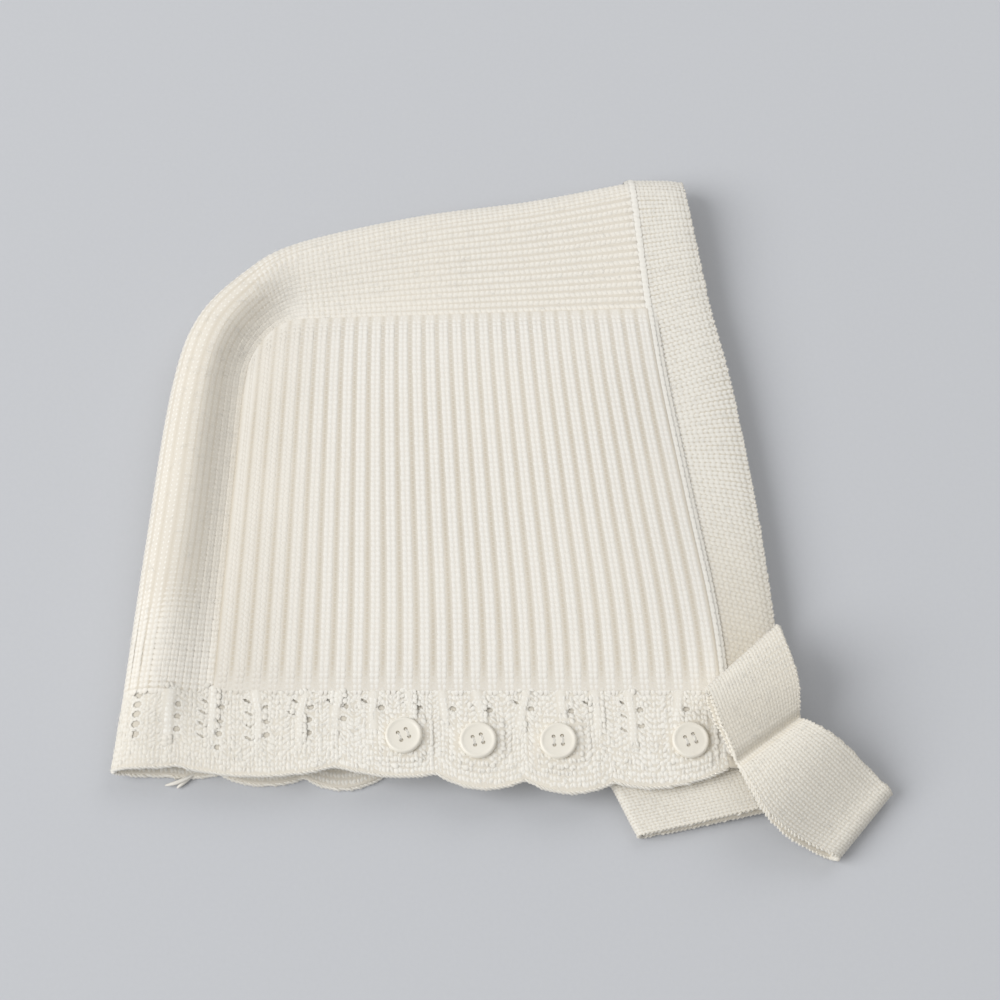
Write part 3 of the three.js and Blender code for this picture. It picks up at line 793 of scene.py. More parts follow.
crown = {
    # travel from the nape over the crown, folded edge in x and y, crest of the roll, its reach
    "rows": [
        (0.0, -94.4, -52.2, 13.0, 8.5),
        (0.5, -90.9, -12.0, 14.5, 9.5),
        (1.0, -86.4, 31.5, 15.5, 9.0),
        (1.35, -80.6, 51.3, 15.8, 9.0),
        (1.7, -67.8, 65.6, 15.4, 8.5),
        (2.0, -54.6, 73.6, 14.6, 8.0),
        (2.35, -23.0, 82.0, 13.4, 7.5),
        (2.7, 8.0, 87.0, 12.6, 7.0),
        (3.0, 34.0, 92.7, 12.2, 7.0),
    ],
    "wall": 2.2,
    "runs": (0.31, 0.67),  # shares of its width where the roll starts and ends
    "ridges": 23,
    "ridgeColumns": 5,
    "ridgeEdge": (0.18, 0.48),  # where a ridge ends and its valley starts, from its middle
    "rowCount": 110,
    "course": 1.4,
    "measuredAt": 0.72,  # share of its width where its courses are spaced
    "flatSize": (0.066, 0.238),
    "faceDrop": 0.2,  # how far below the stitches the cloth lies where it is even
    "ridgeDrop": 0.16,
    "valleyDrop": 0.4,
    "napeEnd": (0.0, 0.04),  # shares of its length over which the valleys deepen
    "overlap": 0.005,  # how far its stitches run on into the hem
    "overlapSink": 0.22,
    "flatFrom": (0.5, 0.68),  # shares of its length where its ridges are stretched into even rows
    "backWide": 0.78,  # share of a ridge that its stitches fill on the back
    "calmFrom": (0.02, 0.14),  # where its ridges are stretched flat: shares of its length
    "calmFold": (0.44, 0.6),  # and of its width, from the fold
    "calmSeam": (0.82, 0.92),  # to the seam
    "calmSink": 0.1,
    "stitch": {"splay": (0.09, 0.41), "reach": 1.5,
               "yarn": 0.76, "plump": 0.2, "rise": 0.06, "tuck": 0.1},
    "tone": (0.45, 0.98),
    "foldLight": (0.86, 1.04),  # painted light where its ridges are stretched flat, on the fold
    "slopeShade": (0.4, 0.66),  # and painted shade on the slope down to the seam
    "slopeFrom": (0.61, 0.72),  # shares of its width where the painted light gives way to the painted shade
    "toneSeam": (0.98, 1.1),  # where that tone ends, at the panel's seam
    "clothTone": (0.1, 0.5),  # of the cloth, in a valley and on a ridge
    "faintTone": (0.22, 0.52),  # where the ridges are stretched flat
    "evenTone": 0.4,
}


def foldRun(share, runs):
    # 0 to 1 on the first layer, to 2 round the roll, to 3 on the other layer
    start, end = runs
    rolled = 1 + (share - start) / (end - start)
    return np.where(share < start, share / start,
                    np.where(share < end, rolled, 2 + (share - end) / (1 - end)))


def foldSection(run, width, reach, crest):
    # distance in from the fold, and height: along the surface, over the roll, down to the seam
    turn = np.pi * np.clip(run - 1, 0, 1)
    fall = np.clip(run - 2, -0.2, 1.2)
    inward = np.where(run <= 1, between(width, reach, run),
                      np.where(run <= 2, reach * (1 - np.sin(turn)), between(reach, width, fall)))
    falling = seamTop + (crest - seamTop) * (1 + np.cos(np.pi * np.clip(fall, 0, 1))) / 2
    height = np.where(run <= 2, crest / 2 * (1 - np.cos(turn)), falling)
    return inward, height


def stripSeam(travel):
    turn = np.clip(travel - 1, 0, 1) * np.pi / 2
    beyond = np.clip(travel - 2, 0, 1.1)
    share = between(panel["cornerShare"] * (1 - np.cos(turn)), 1, beyond)
    y = between(panel["hemLine"] + seamGap / 2, panel["cornerStart"], np.minimum(travel, 1))
    y = y + panel["cornerRise"] * np.sin(turn) + panel["topRise"] * beyond
    x = between(backSeamX(y), bandSeamX(y) - seamGap, share)
    return x, y


def crownStrip(across, along):
    travel = along * 3
    foldX, foldY, crest, reach = [fromTable(crown["rows"], column, travel) for column in (1, 2, 3, 4)]
    seamX, seamY = stripSeam(travel)
    width = np.hypot(foldX - seamX, foldY - seamY)
    inward, height = foldSection(foldRun(across, crown["runs"]), width, reach, crest)
    x = between(foldX, seamX, inward / width)
    y = between(foldY, seamY, inward / width)
    return np.stack([x, y, height], -1)


def ridgeCalm(across, along, seam):
    # 1 where the ridges are stretched flat, on the back from the fold to the seam
    onBack = ease(along, *crown["calmFrom"]) * (1 - ease(along, *crown["flatFrom"]))
    return onBack * ease(across, *crown["calmFold"]) * (1 - ease(across, *seam))


def addCrownStrip(finishes):
    cloth = Cloth(crownStrip, 1.0)

    def ridge(u):
        aside = np.abs((u * crown["ridges"]) % 1 - 0.5)
        return 1 - ease(aside, *crown["ridgeEdge"])

    def top(u, v):
        valley = between(crown["faceDrop"], crown["valleyDrop"], ease(v, *crown["napeEnd"]))
        ribbed = between(valley, crown["ridgeDrop"], ridge(u))
        worn = between(ribbed, crown["faceDrop"], ease(v, *crown["flatFrom"]))
        calm = between(crown["faceDrop"], crown["ridgeDrop"], ridge(u))
        return -between(worn, calm, ridgeCalm(u, v, crown["calmSeam"]))

    def relief(u, v):
        ribbed = between(*crown["clothTone"], ridge(u))
        worn = between(ribbed, crown["evenTone"], ease(v, *crown["flatFrom"]))
        faint = between(*crown["faintTone"], ridge(u))
        return between(worn, faint, ridgeCalm(u, v, crown["toneSeam"]))

    grid = evenly(crown["ridges"] * crown["ridgeColumns"]), evenly(crown["rowCount"])
    base = knitSheet("crown_strip_knit", cloth, grid, (top, -crown["wall"]), relief,
                     finishes["cloth"])
    pile = YarnPile()
    size = dict(crown["stitch"])
    along, size["tall"] = cloth.courses(crown["measuredAt"], crown["course"], -crown["overlap"])
    filled = between(crown["backWide"], 1, ease(along, *crown["flatFrom"])) / crown["ridges"]
    intoHem = crown["overlapSink"] * ease(-along, -crown["overlap"], crown["overlap"])
    for row in range(crown["ridges"]):
        across = np.full_like(along, (row + 0.5) / crown["ridges"])
        shape = fibreBean if across[0] < crown["runs"][0] else bean  # plainer where it lies hidden
        size["wide"] = filled / cloth.sharePerMm(across, along)[0]
        sunk = crown["calmSink"] * ridgeCalm(across, along, crown["calmSeam"]) + intoHem
        # painted light on the fold, painted shade on the slope that turns away from the light
        flatLightAndShade = blend(crown["foldLight"], crown["slopeShade"], ease(across, *crown["slopeFrom"]))
        size["tone"] = blend(crown["tone"], flatLightAndShade, ridgeCalm(across, along, crown["toneSeam"]))
        layStitches(pile, cloth, across, along, shape, size, flush(size) - sunk)
    stitches = pile.piece("crown_strip_stitches", finishes["yarn"], "crown_knit")
    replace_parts(base, "crown_strip")


# face band

band = {
    "wall": 2.3,
    "edgeWall": 1.2,
    "edgeDrop": 0.6,
    "edgePower": 6,  # how late it thins out towards its outer edge
    "tilt": 0.9,
    "tiltFrom": 50.0,
    "faceDrop": 0.22,  # how far below the stitches the cloth lies
    "clothTone": 0.1,
    "wale": 2.4,  # its stitches run across it, from the seam to the outer edge
    "courses": 13,
    # height and slant of its rows in degrees, on the upper layer
    "slants": [(-75.0, -11), (-20.0, -13), (0.0, -7), (18.0, 6),
               (34.0, 18), (55.0, 16), (75.0, 8), (94.0, 0)],
    "slantFade": 0.02,
    "columns": 24,
    "rowCounts": (65, 16, 46),  # on the upper layer, round the fold and on the lower layer
    "runs": (0.478, 0.53),  # shares of its length where the fold starts and ends
    "flatSize": (0.0165, 0.343),
    "stitch": {"splay": (0.09, 0.39), "reach": 1.4,
               "yarn": 0.6, "plump": 0.18, "rise": 0.05, "tuck": 0.1},
    "tone": (0.45, 0.95),
    "lowTone": (-0.1, 0.35),  # towards the lower end, where it turns away from the light
    "lowFrom": (-60.0, 10.0),
    "chain": {"long": 2.5, "yarn": 0.95, "plump": 0.26, "rise": 0.06, "tuck": 0.1, "tone": (0.7, 1.0)},
    "chainLift": (0.44, -0.12),  # along the panel, and along the strip
    "chainSink": (46.0, 56.0),
    "chainStart": 0.01,
    "chainStep": 1.45,
    "chainTurn": 0.26,
    "chainLoose": 0.1,
    "chainPlace": 0.02,
    "fill": {"long": 2.6, "yarn": 1.1, "plump": 0.36, "rise": 0.06, "tuck": 0.08, "tone": (0.5, 0.9)},
    "fillDrop": 0.42,  # strands beside the chain, lower than it, where the panel stands up
    "fillPlace": 0.07,
    "join": {"long": 2.4, "yarn": 0.9, "plump": 0.5, "rise": 0.05, "tuck": 0.05, "tone": (0.45, 0.9)},
    "joinReach": (0.44, 0.62),  # shares of its length round the fold at the crown
    "joinPlace": -0.05,
    "joinLift": -0.6,
    "trimSoftness": 0.8,
    "edge": {"bulge": 0.3, "inset": 0.25, "yarn": 0.6, "slant": 2.0},
    "overhang": 1.5,  # how far its lower end reaches under the bow, past the hem
}
bandFoldY = bandRows[-1][0]
bandEndY = bandRows[0][0] - band["overhang"]
frontWidth = bandFoldY - panelTopY(1.0)


def towardsEdge(across):
    return np.clip(across, 0, 1) ** band["edgePower"]


def faceBand(across, along):
    run = foldRun(along, band["runs"])
    crest, reach = crown["rows"][-1][3:]
    full = bandFoldY - bandEndY
    inward = between(full, reach, run)
    fall = np.minimum(1, (inward - reach) / (frontWidth - reach))
    rollIn, rollHeight = foldSection(3 - np.clip(run, 1, 2), frontWidth, reach, crest)
    upperHeight = foldSection(2 + fall, frontWidth, reach, crest)[1]
    inward = np.where(run >= 2, between(reach, full, run - 2), np.where(run >= 1, rollIn, inward))
    height = np.where(run >= 2, 0, np.where(run >= 1, rollHeight, upperHeight))
    y = bandFoldY - inward
    x = between(bandSeamX(y), fromTable(bandRows, 2, y), across)
    onTop = 1 - ease(run, 1, 1.5)
    tilted = band["tilt"] * across * (1 - ease(y, 0, band["tiltFrom"]))
    height = height - (band["edgeDrop"] * towardsEdge(across) + tilted) * onTop
    return np.stack([x, y, height], -1)


def bandThinning(across):
    return (band["wall"] - band["edgeWall"]) / 2 * towardsEdge(across)


def rowSlant(y, along):
    # how far the rows are turned on the upper layer, where the band is pulled out of line
    foldStart = band["runs"][0]
    onTop = 1 - ease(along, foldStart - band["slantFade"], foldStart)
    return np.radians(fromTable(band["slants"], 1, y)) * onTop


def addFaceBand(finishes):
    cloth = Cloth(faceBand, 1.0)
    start, end = band["runs"]

    def top(u, v):
        return -band["faceDrop"] - bandThinning(u)

    def bottom(u, v):
        return -band["wall"] + bandThinning(u)

    upperRows, foldRows, lowerRows = band["rowCounts"]
    rows = np.concatenate([np.linspace(0, start, upperRows, endpoint=False),
                           np.linspace(start, end, foldRows, endpoint=False), np.linspace(end, 1, lowerRows)])
    base = knitSheet("face_band_knit", cloth, (evenly(band["columns"]), rows), (top, bottom),
                     band["clothTone"], finishes["cloth"])
    pile = YarnPile()
    size = dict(band["stitch"])
    along, size["wide"] = cloth.courses(0.5, band["wale"])
    for course in range(band["courses"]):
        across = np.full_like(along, (course + 0.5) / band["courses"])
        perU, perV = cloth.sharePerMm(across, along)
        y = cloth.surface(across, along)[:, 1]
        slant = rowSlant(y, along)
        shifted = along + (across - 0.5) / perU * np.tan(slant) * perV
        size["tall"] = 1 / perU / band["courses"]
        size["tone"] = blend(band["lowTone"], band["tone"], ease(y, *band["lowFrom"]))
        layStitches(pile, cloth, across, shifted, bean, size, flush(size) - bandThinning(across),
                    slant - np.pi / 2)
    stitches = pile.piece("face_band_stitches", finishes["yarn"], "band_knit")
    trim = YarnPile(band["trimSoftness"])
    along = cloth.courses(1.0, band["wale"] / 2)[0]
    wrapEdge(trim, cloth, 1.0, along, (1.0, 0.0), band["edgeWall"], bean,
             dict(band["edge"], lift=-bandThinning(1.0)))
    along = cloth.courses(0.0, band["chainStep"], band["chainStart"], end)[0]
    count = len(along)
    slants = band["chainTurn"] * (-1.0) ** np.arange(count) + dice.normal(0, band["chainLoose"], count)
    y = cloth.surface(0 * along, along)[:, 1]
    lift = between(*band["chainLift"], ease(y, *band["chainSink"]))
    layStrands(trim, cloth, band["chainPlace"], along, fineBean, band["chain"], slants, lift)
    low = y < band["chainSink"][1]
    layStrands(trim, cloth, band["fillPlace"], along[low], fineBean, band["fill"], slants[low],
               lift[low] - band["fillDrop"])
    # strands that close the seam where strip and band turn over the crown
    along = cloth.courses(0.0, band["chainStep"], *band["joinReach"])[0]
    layStrands(trim, cloth, band["joinPlace"], along, bean, band["join"], 0.0, band["joinLift"])
    edging = trim.piece("face_band_edging", finishes["yarn"], "band_knit")
    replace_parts(base, "face_band")


# lace hem

hem = {
    # along x: cusp line of the upper and the lower edge, and how high the upper edge stands
    "rows": [
        (-96.8, -70.6, -70.4, 8.0),
        (-60.0, -70.3, -71.0, 8.4),
        (-40.0, -70.8, -71.6, 8.6),
        (-16.0, -72.6, -68.2, 8.8),
        (27.0, -74.8, -68.6, 9.2),
        (56.0, -71.0, -68.0, 9.6),
    ],
    # cusps of each layer's edge, and the depth of the lobe after each one
    "upperCusps": [(-97.0, 0.8), (-80.0, 3.0), (-41.0, 1.6), (-16.0, 3.2), (5.8, 3.0),
                   (27.4, 2.8), (57.0, 0.0)],
    "lowerCusps": [(-97.0, 0.6), (-86.0, 1.0), (-70.0, 2.6), (-49.0, 3.2), (-27.0, 2.0), (-5.0, 2.4),
                   (17.0, 2.4), (39.0, 2.4), (60.0, 0.0)],
    "lobeRoundness": 0.8,
    # columns from the ribs: x, length, eyelets towards the back and towards the front, sideways lean
    "columns": [
        (-81.6, 0.85, 0, 3, -1.2), (-71.2, 0.85, 4, 4, -1.2), (-60.1, 0.8, 4, 3, 0), (-49.8, 0.8, 2, 3, 0),
        (-41.2, 0.75, 1, 2, 0), (-32.0, 0.7, 1, 1, 0), (-22.2, 0.45, 0, 1, 0), (-13.9, 0.6, 0, 1, 0),
        (-4.6, 0.45, 0, 1, 0), (4.7, 0.6, 1, 1, 0), (15.2, 0.45, 0, 1, 0), (23.7, 0.6, 1, 0, 0),
        (32.3, 0.75, 3, 2, 0), (43.3, 0.45, 0, 1, 0),
    ],
    "columnRise": 0.42,
    "columnEdge": (0.3, 1.7),  # where a column starts to fall and where it ends, from its middle
    "columnBend": (-0.06, 0.35),
    "columnFade": 0.3,
    "columnBare": 0.9,  # how high on a column the plain stitches end
    "cord": {"wide": 1.9, "splay": (0.14, 0.24), "reach": 1.7,
             "yarn": 0.5, "plump": 0.2, "rise": 0.05, "tuck": 0.05, "tone": (0.7, 1.0)},
    "cordStep": 1.3,
    "cordEnds": (-0.06, -0.05),  # past the seam, and past the end of the column
    "cordProud": 0.04,
    "cordSink": 0.3,  # how far it starts below that, at the seam
    "cordSinkEnd": (-0.06, 0.06),
    "cordLoose": 0.07,
    "slot": {"aside": 2.3, "first": 0.12, "spacing": 0.15, "width": 2.7, "height": 1.1, "slant": -0.45},
    "oval": {"aside": 2.1, "first": 0.2, "spacing": 0.165, "width": 2.1, "height": 1.8, "slant": 0.1},
    "rollOval": {"width": 2.6, "height": 2.0, "slant": 0.15},
    "rollEyelets": (0.08, 0.2, 0.32, 0.45, 0.58),
    "rollEyeletTurn": 0.18,
    "eyeletCore": 0.62,  # share of an eyelet that goes right through
    "eyeletDip": 0.5,
    "dipReach": (0.45, 1.35),  # shares of an eyelet over which the cloth sinks in and darkens with painted shade
    "eyeletClear": 1.25,  # and outside which stitches are laid
    "ring": {"long": 1.7, "yarn": 0.42, "plump": 0.16, "rise": 0.05, "tuck": 0.05, "tone": (0.5, 0.85)},
    "ringStrands": 8,
    "ringReach": 1.16,
    "ringLift": -0.24,
    "behind": {"long": 3.4, "yarn": 0.6, "plump": 0.3, "rise": 0.05, "tuck": 0.05, "tone": (0.0, 0.3)},
    "behindAside": (-0.55, 0.0, 0.55),
    "behindLift": -0.62,
    "bulgeEnd": 0.75,  # share of the depth where the strip's roll has died away
    "wall": 1.8,
    "faceDrop": 0.18,  # how far below the stitches the cloth lies
    "clothTone": (0.36, 0.68),  # of the cloth, and on a column
    "topRise": 0.4,  # how far it swells to meet the panel, and the share of its depth
    "topRiseEnd": 0.26,
    "topRiseFrom": (-74.5, -70.5),
    "rollStartX": -82.8,
    "rollSwell": 0.6,
    "parts": (0.443, 0.548),  # shares of its length where the back roll starts and ends
    "cell": 0.43,
    "rollColumns": 56,
    "lowerColumns": 101,
    "rowCount": 48,
    "wale": 1.95,
    "course": 1.32,
    "measuredAt": (0.4, 0.25),  # share of the depth where its wales are spaced, and round it, its courses
    "overlap": 0.09,  # how far its stitches run up into the strip
    "overlapSink": 0.04,
    "lastCourse": 0.97,
    "flatSize": (0.0205, 0.316),
    "stitch": {"wide": 1.95, "splay": (0.14, 0.36), "reach": 1.3,
               "yarn": 0.55, "plump": 0.16, "rise": 0.05, "tuck": 0.08, "tone": (0.6, 0.95)},
    "loose": 0.1,  # how uneven the lace is, sideways, in height and in lean
    "looseLift": 0.03,
    "looseLean": 0.25,
    "seenPast": 0.02,  # how far past the roll its stitches are as fine as on top
    "fan": 0.6,  # lean of the stitches beside a column
    "fanFrom": (0.6, 2.2),  # distances from the column where it starts and ends
    "fanEnd": (3.4, 5.2),
    "fanDepth": (0.72, 0.9),
    "backShade": 0.22,  # painted shade: how much darker it is towards the back
    "backFade": (-85.0, -35.0),
    "insideFrom": 0.3,  # inner face of the lower layer: share of the roll where it starts
    "insideTo": 0.86,
    "insideAt": 0.75,
    "insideDepth": (0.5, 0.98),
    "insideDrop": 0.06,
    "insideLoose": 0.06,
    "edge": {"bulge": 0.45, "inset": 0.3, "yarn": 0.62, "slant": 2.4, "lift": -0.05},
    "edgeStep": 1.1,
    "edgeWall": 1.4,
}
hemTopY = panel["hemLine"] - seamGap / 2


def scallopY(cusps, column, x):
    places = np.array([cusp[0] for cusp in cusps])
    lobes = np.array([cusp[1] for cusp in cusps])
    i = np.clip(np.searchsorted(places, x) - 1, 0, len(places) - 2)
    share = (x - places[i]) / (places[i + 1] - places[i])
    lobe = np.maximum(0, np.sin(np.pi * share)) ** hem["lobeRoundness"]
    return fromTable(hem["rows"], column, x) - lobes[i] * lobe


def upperEdgeY(x):
    return scallopY(hem["upperCusps"], 1, x)


def lowerEdgeY(x):
    return scallopY(hem["lowerCusps"], 2, x)


def hemTop(x, down):
    return between(seamTop, fromTable(hem["rows"], 3, x), down * down) + stripBulge(x, down)


def stripBulge(x, down):
    # the strip's roll runs on into the top of the hem
    foldX, foldY, crest, reach = crown["rows"][0][1:]
    fall = (x - foldX - reach) / (panel["backSeamX"] - foldX - reach)
    rise = (crest - seamTop) * (1 + np.cos(np.pi * np.clip(fall, 0, 1))) / 2
    return rise * (1 - ease(down, 0, hem["bulgeEnd"]))


def hemFrontX(down):
    return bandSeamX(between(hemTopY, bandEndY, down)) - seamGap


def laceHem(around, down):
    # from the front of the upper layer to the back roll, and on to the front of the lower layer
    start, end = hem["parts"]
    rollX = hem["rollStartX"]
    front = hemFrontX(down)
    upperX = between(front, rollX, around / start)
    upperY = between(hemTopY, upperEdgeY(upperX), down)
    upperZ = hemTop(upperX, down)
    turn = np.clip((around - start) / (end - start), 0, 1)
    angle = np.pi * turn
    foldX = between(crown["rows"][0][1], hem["rows"][0][0], down)
    crest = between(crown["rows"][0][3], hem["rows"][0][3] + hem["rollSwell"], down)
    startTop = hemTop(rollX, down)
    lift = (crest - startTop) * np.sin(angle) * (1 - turn)
    rollOut = rollX - (rollX - foldX) * np.abs(np.sin(angle)) ** hem["lobeRoundness"]
    rollY = between(hemTopY, between(upperEdgeY(rollX), lowerEdgeY(rollX), turn), down)
    rollZ = startTop / 2 * (1 + np.cos(angle)) + lift
    lowerX = between(rollX, front, (around - end) / (1 - end))
    lowerY = between(hemTopY, lowerEdgeY(lowerX), down)
    onUpper, onRoll = around < start, around < end
    x = np.where(onUpper, upperX, np.where(onRoll, rollOut, lowerX))
    y = np.where(onUpper, upperY, np.where(onRoll, rollY, lowerY))
    z = np.where(onUpper, upperZ, np.where(onRoll, rollZ, 0))
    return np.stack([x, y, z], -1)


def hemShare(x, down):
    # share round the hem of a point of its upper layer
    front = hemFrontX(down)
    return (x - front) / (hem["rollStartX"] - front) * hem["parts"][0]


def hemEyelets():
    # slanted slots on the back side of each column, ovals on its front side and down the roll
    made = []
    for x, length, back, fore, lean in hem["columns"]:
        for side, count, kind in ((-1, back, "slot"), (1, fore, "oval")):
            shape = hem[kind]
            for row in range(count):
                down = shape["first"] + shape["spacing"] * row
                u = float(hemShare(columnX(x, lean, down) + side * shape["aside"], down))
                made.append(dict(shape, u=u, v=down))
    for down in hem["rollEyelets"]:
        made.append(dict(hem["rollOval"], u=between(*hem["parts"], hem["rollEyeletTurn"]), v=down))
    return made


def columnX(x, lean, down):
    # a column starts from the rib above it and bends to its own place
    low, high = backSeamX(panel["hemLine"]), bandSeamX(panel["hemLine"])
    rib = np.clip(np.round((x - low) / (high - low) * panel["ribs"] - 0.5), 0, panel["ribs"] - 1)
    crest = low + (rib + 0.5) / panel["ribs"] * (high - low)
    pulled = (crest - x) * (1 - ease(down, *hem["columnBend"])) * (x > low + 1)
    return x + lean * down + pulled


def columnBump(around, down):
    # 1 on the crest of a column of the upper layer, 0 beside it
    bump = np.zeros_like(around)
    for x, length, back, fore, lean in hem["columns"]:
        away = np.abs(around - hemShare(columnX(x, lean, down), down))
        aside = away / hem["parts"][0] * (hemFrontX(down) - hem["rollStartX"])
        fade = 1 - ease(down, length - hem["columnFade"], length)
        bump = np.maximum(bump, (1 - ease(aside, *hem["columnEdge"])) * fade)
    return bump * (around < hem["parts"][0])


def addLaceHem(finishes):
    cloth = Cloth(laceHem, 1.0)
    edgeCloth = Cloth(lambda u, v: laceHem(v, u), -1.0)  # the same cloth, measured round its edge
    start, end = hem["parts"]
    eyelets = hemEyelets()

    def swell(u, v):
        onPanel = ease(laceHem(u, v)[..., 0], *hem["topRiseFrom"]) * (u < start)
        return hem["topRise"] * (1 - ease(v, 0, hem["topRiseEnd"])) * onPanel + buttonNest(u, v)

    def dip(u, v):
        # the cloth sinks in towards each eyelet
        deepest = np.zeros_like(u)
        for hole in eyelets:
            deepest = np.maximum(deepest, 1 - ease(insideEyelet(cloth, hole, u, v), *hem["dipReach"]))
        return deepest

    def top(u, v):
        raised = swell(u, v) + hem["columnRise"] * columnBump(u, v)
        return raised - hem["faceDrop"] - hem["eyeletDip"] * dip(u, v)

    def relief(u, v):
        # painted shade: the tone falls to the valley colour in each eyelet's dip
        return between(*hem["clothTone"], columnBump(u, v)) * (1 - dip(u, v))

    upperColumns = round((hemFrontX(0.5) - hem["rollStartX"]) / hem["cell"])
    columns = np.concatenate([np.linspace(0, start, upperColumns, endpoint=False),
                              np.linspace(start, end, hem["rollColumns"], endpoint=False),
                              np.linspace(end, 1, hem["lowerColumns"])])
    core = hem["eyeletCore"]
    cores = [dict(hole, width=hole["width"] * core, height=hole["height"] * core) for hole in eyelets]
    base = knitSheet("lace_hem_knit", cloth, (columns, evenly(hem["rowCount"])), (top, -hem["wall"]), relief,
                     finishes["cloth"], cores)
    pile = YarnPile()
    size = dict(hem["stitch"])
    measuredDown, measuredRound = hem["measuredAt"]
    around, size["wide"] = edgeCloth.courses(measuredDown, hem["wale"])
    down, size["tall"] = cloth.courses(measuredRound, hem["course"], -hem["overlap"], hem["lastCourse"])
    around, down = [grid.ravel() for grid in np.meshgrid(around, down)]
    keep = columnBump(around, down) < hem["columnBare"]
    for hole in eyelets:
        keep &= insideEyelet(cloth, hole, around, down) > hem["eyeletClear"]
    around, down = around[keep], down[keep]
    seen = around < end + hem["seenPast"]
    lift = swell(around, down) + hem["columnRise"] * columnBump(around, down) + flush(size)
    lift = lift + dice.normal(0, hem["looseLift"], len(around))
    lift = lift - hem["overlapSink"] * ease(-down, 0, hem["overlap"])
    lean = laceLean(around, down) * seen + dice.normal(0, hem["looseLean"], len(around))
    # painted shade towards the back
    darker = hem["backShade"] * (1 - ease(laceHem(around, down)[:, 0], *hem["backFade"]))
    for part, shape in ((seen, bean), (~seen, plainBean)):
        size["tone"] = [level - darker[part] for level in hem["stitch"]["tone"]]
        layStitches(pile, cloth, around[part], down[part], shape, size, lift[part], lean[part], hem["loose"])
    for hole in eyelets:
        layRing(pile, cloth, hole, swell)
    # loose yarn that crosses behind each eyelet, toned dark as painted shade
    holeU, holeV, slant = [np.array([hole[key] for hole in eyelets]) for key in ("u", "v", "slant")]
    perV = cloth.sharePerMm(holeU, holeV)[1]
    for aside in hem["behindAside"]:
        layStrands(pile, cloth, holeU, holeV + aside * perV, plainBean, hem["behind"], slant + np.pi / 2,
                   hem["behindLift"])
    layCords(pile, cloth, top)
    stitches = pile.piece("lace_hem_stitches", finishes["yarn"], "lace_knit")
    lining = layInside(finishes)
    trim = YarnPile()
    around = edgeCloth.courses(1.0, hem["edgeStep"])[0]
    wrapEdge(trim, cloth, around, 1.0, (0.0, 1.0), hem["edgeWall"], fineBean, hem["edge"])
    edging = trim.piece("lace_hem_edging", finishes["yarn"], "lace_knit")
    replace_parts(base, "lace_hem")


def layRing(pile, cloth, hole, swell):
    # yarn that runs round an eyelet
    angle = np.arange(hem["ringStrands"]) * 2 * np.pi / hem["ringStrands"]
    long, short = hole["width"] / 2 * hem["ringReach"], hole["height"] / 2 * hem["ringReach"]
    across, along = turned(np.cos(angle) * long, np.sin(angle) * short, hole["slant"])
    stepU, stepV = turned(-np.sin(angle) * long, np.cos(angle) * short, hole["slant"])
    perU, perV = cloth.sharePerMm(np.array([hole["u"]]), np.array([hole["v"]]))
    u = hole["u"] + across * perU
    v = hole["v"] + along * perV
    layStrands(pile, cloth, u, v, bean, hem["ring"], np.arctan2(-stepU, stepV), swell(u, v) + hem["ringLift"])


def layCords(pile, cloth, top):
    # a line of stitches down the crest of each column
    before, after = hem["cordEnds"]
    for x, length, back, fore, lean in hem["columns"]:
        down, tall = cloth.courses(float(hemShare(x, 0.5)), hem["cordStep"], before, length + after)
        around = hemShare(columnX(x, lean, down), down)
        sunk = hem["cordSink"] * (1 - ease(down, *hem["cordSinkEnd"]))
        lift = top(around, np.maximum(down, 0)) + flush(hem["cord"]) + hem["cordProud"] - sunk
        layStitches(pile, cloth, around, down, fineBean, dict(hem["cord"], tall=tall), lift, 0.0,
                    hem["cordLoose"])


def buttonNest(around, down):
    # the wool swells up round each button
    x, y, z = np.moveaxis(laceHem(around, down), -1, 0)
    nest = np.zeros_like(x)
    for buttonX, buttonY in button["places"]:
        away = np.hypot(x - buttonX, y - buttonY)
        nest = np.maximum(nest, np.exp(-((away - button["nestReach"]) / button["nestWidth"]) ** 2))
    return button["nestRise"] * nest * (around < hem["parts"][0])


def layInside(finishes):
    # the inner face of the lower layer, where it shows beyond the upper edge
    cloth = Cloth(laceHem, -1.0)
    pile = YarnPile()
    wales = round(hem["flatSize"][1] / mm / hem["wale"])
    around = (np.arange(wales) + 0.5) / wales
    around = around[(around > between(*hem["parts"], hem["insideFrom"])) & (around < hem["insideTo"])]
    down, tall = cloth.courses(hem["insideAt"], hem["course"], *hem["insideDepth"])
    around, down = [grid.ravel() for grid in np.meshgrid(around, down)]
    lift = hem["wall"] - hem["insideDrop"]
    size = dict(hem["stitch"], tall=tall)
    layStitches(pile, cloth, around, down, bean, size, lift, 0.0, hem["insideLoose"])
    return pile.piece("lace_hem_inside", finishes["yarn"], "lace_knit")


def laceLean(around, down):
    # stitches fan away from the nearest column
    places = np.array([column[0] for column in hem["columns"]])
    x = between(hemFrontX(down), hem["rollStartX"], around / hem["parts"][0])
    aside = x - places[np.argmin(np.abs(x[:, None] - places[None, :]), axis=1)]
    near = ease(np.abs(aside), *hem["fanFrom"]) * (1 - ease(np.abs(aside), *hem["fanEnd"]))
    return hem["fan"] * np.sign(aside) * near * (1 - ease(down, *hem["fanDepth"]))


# buttons

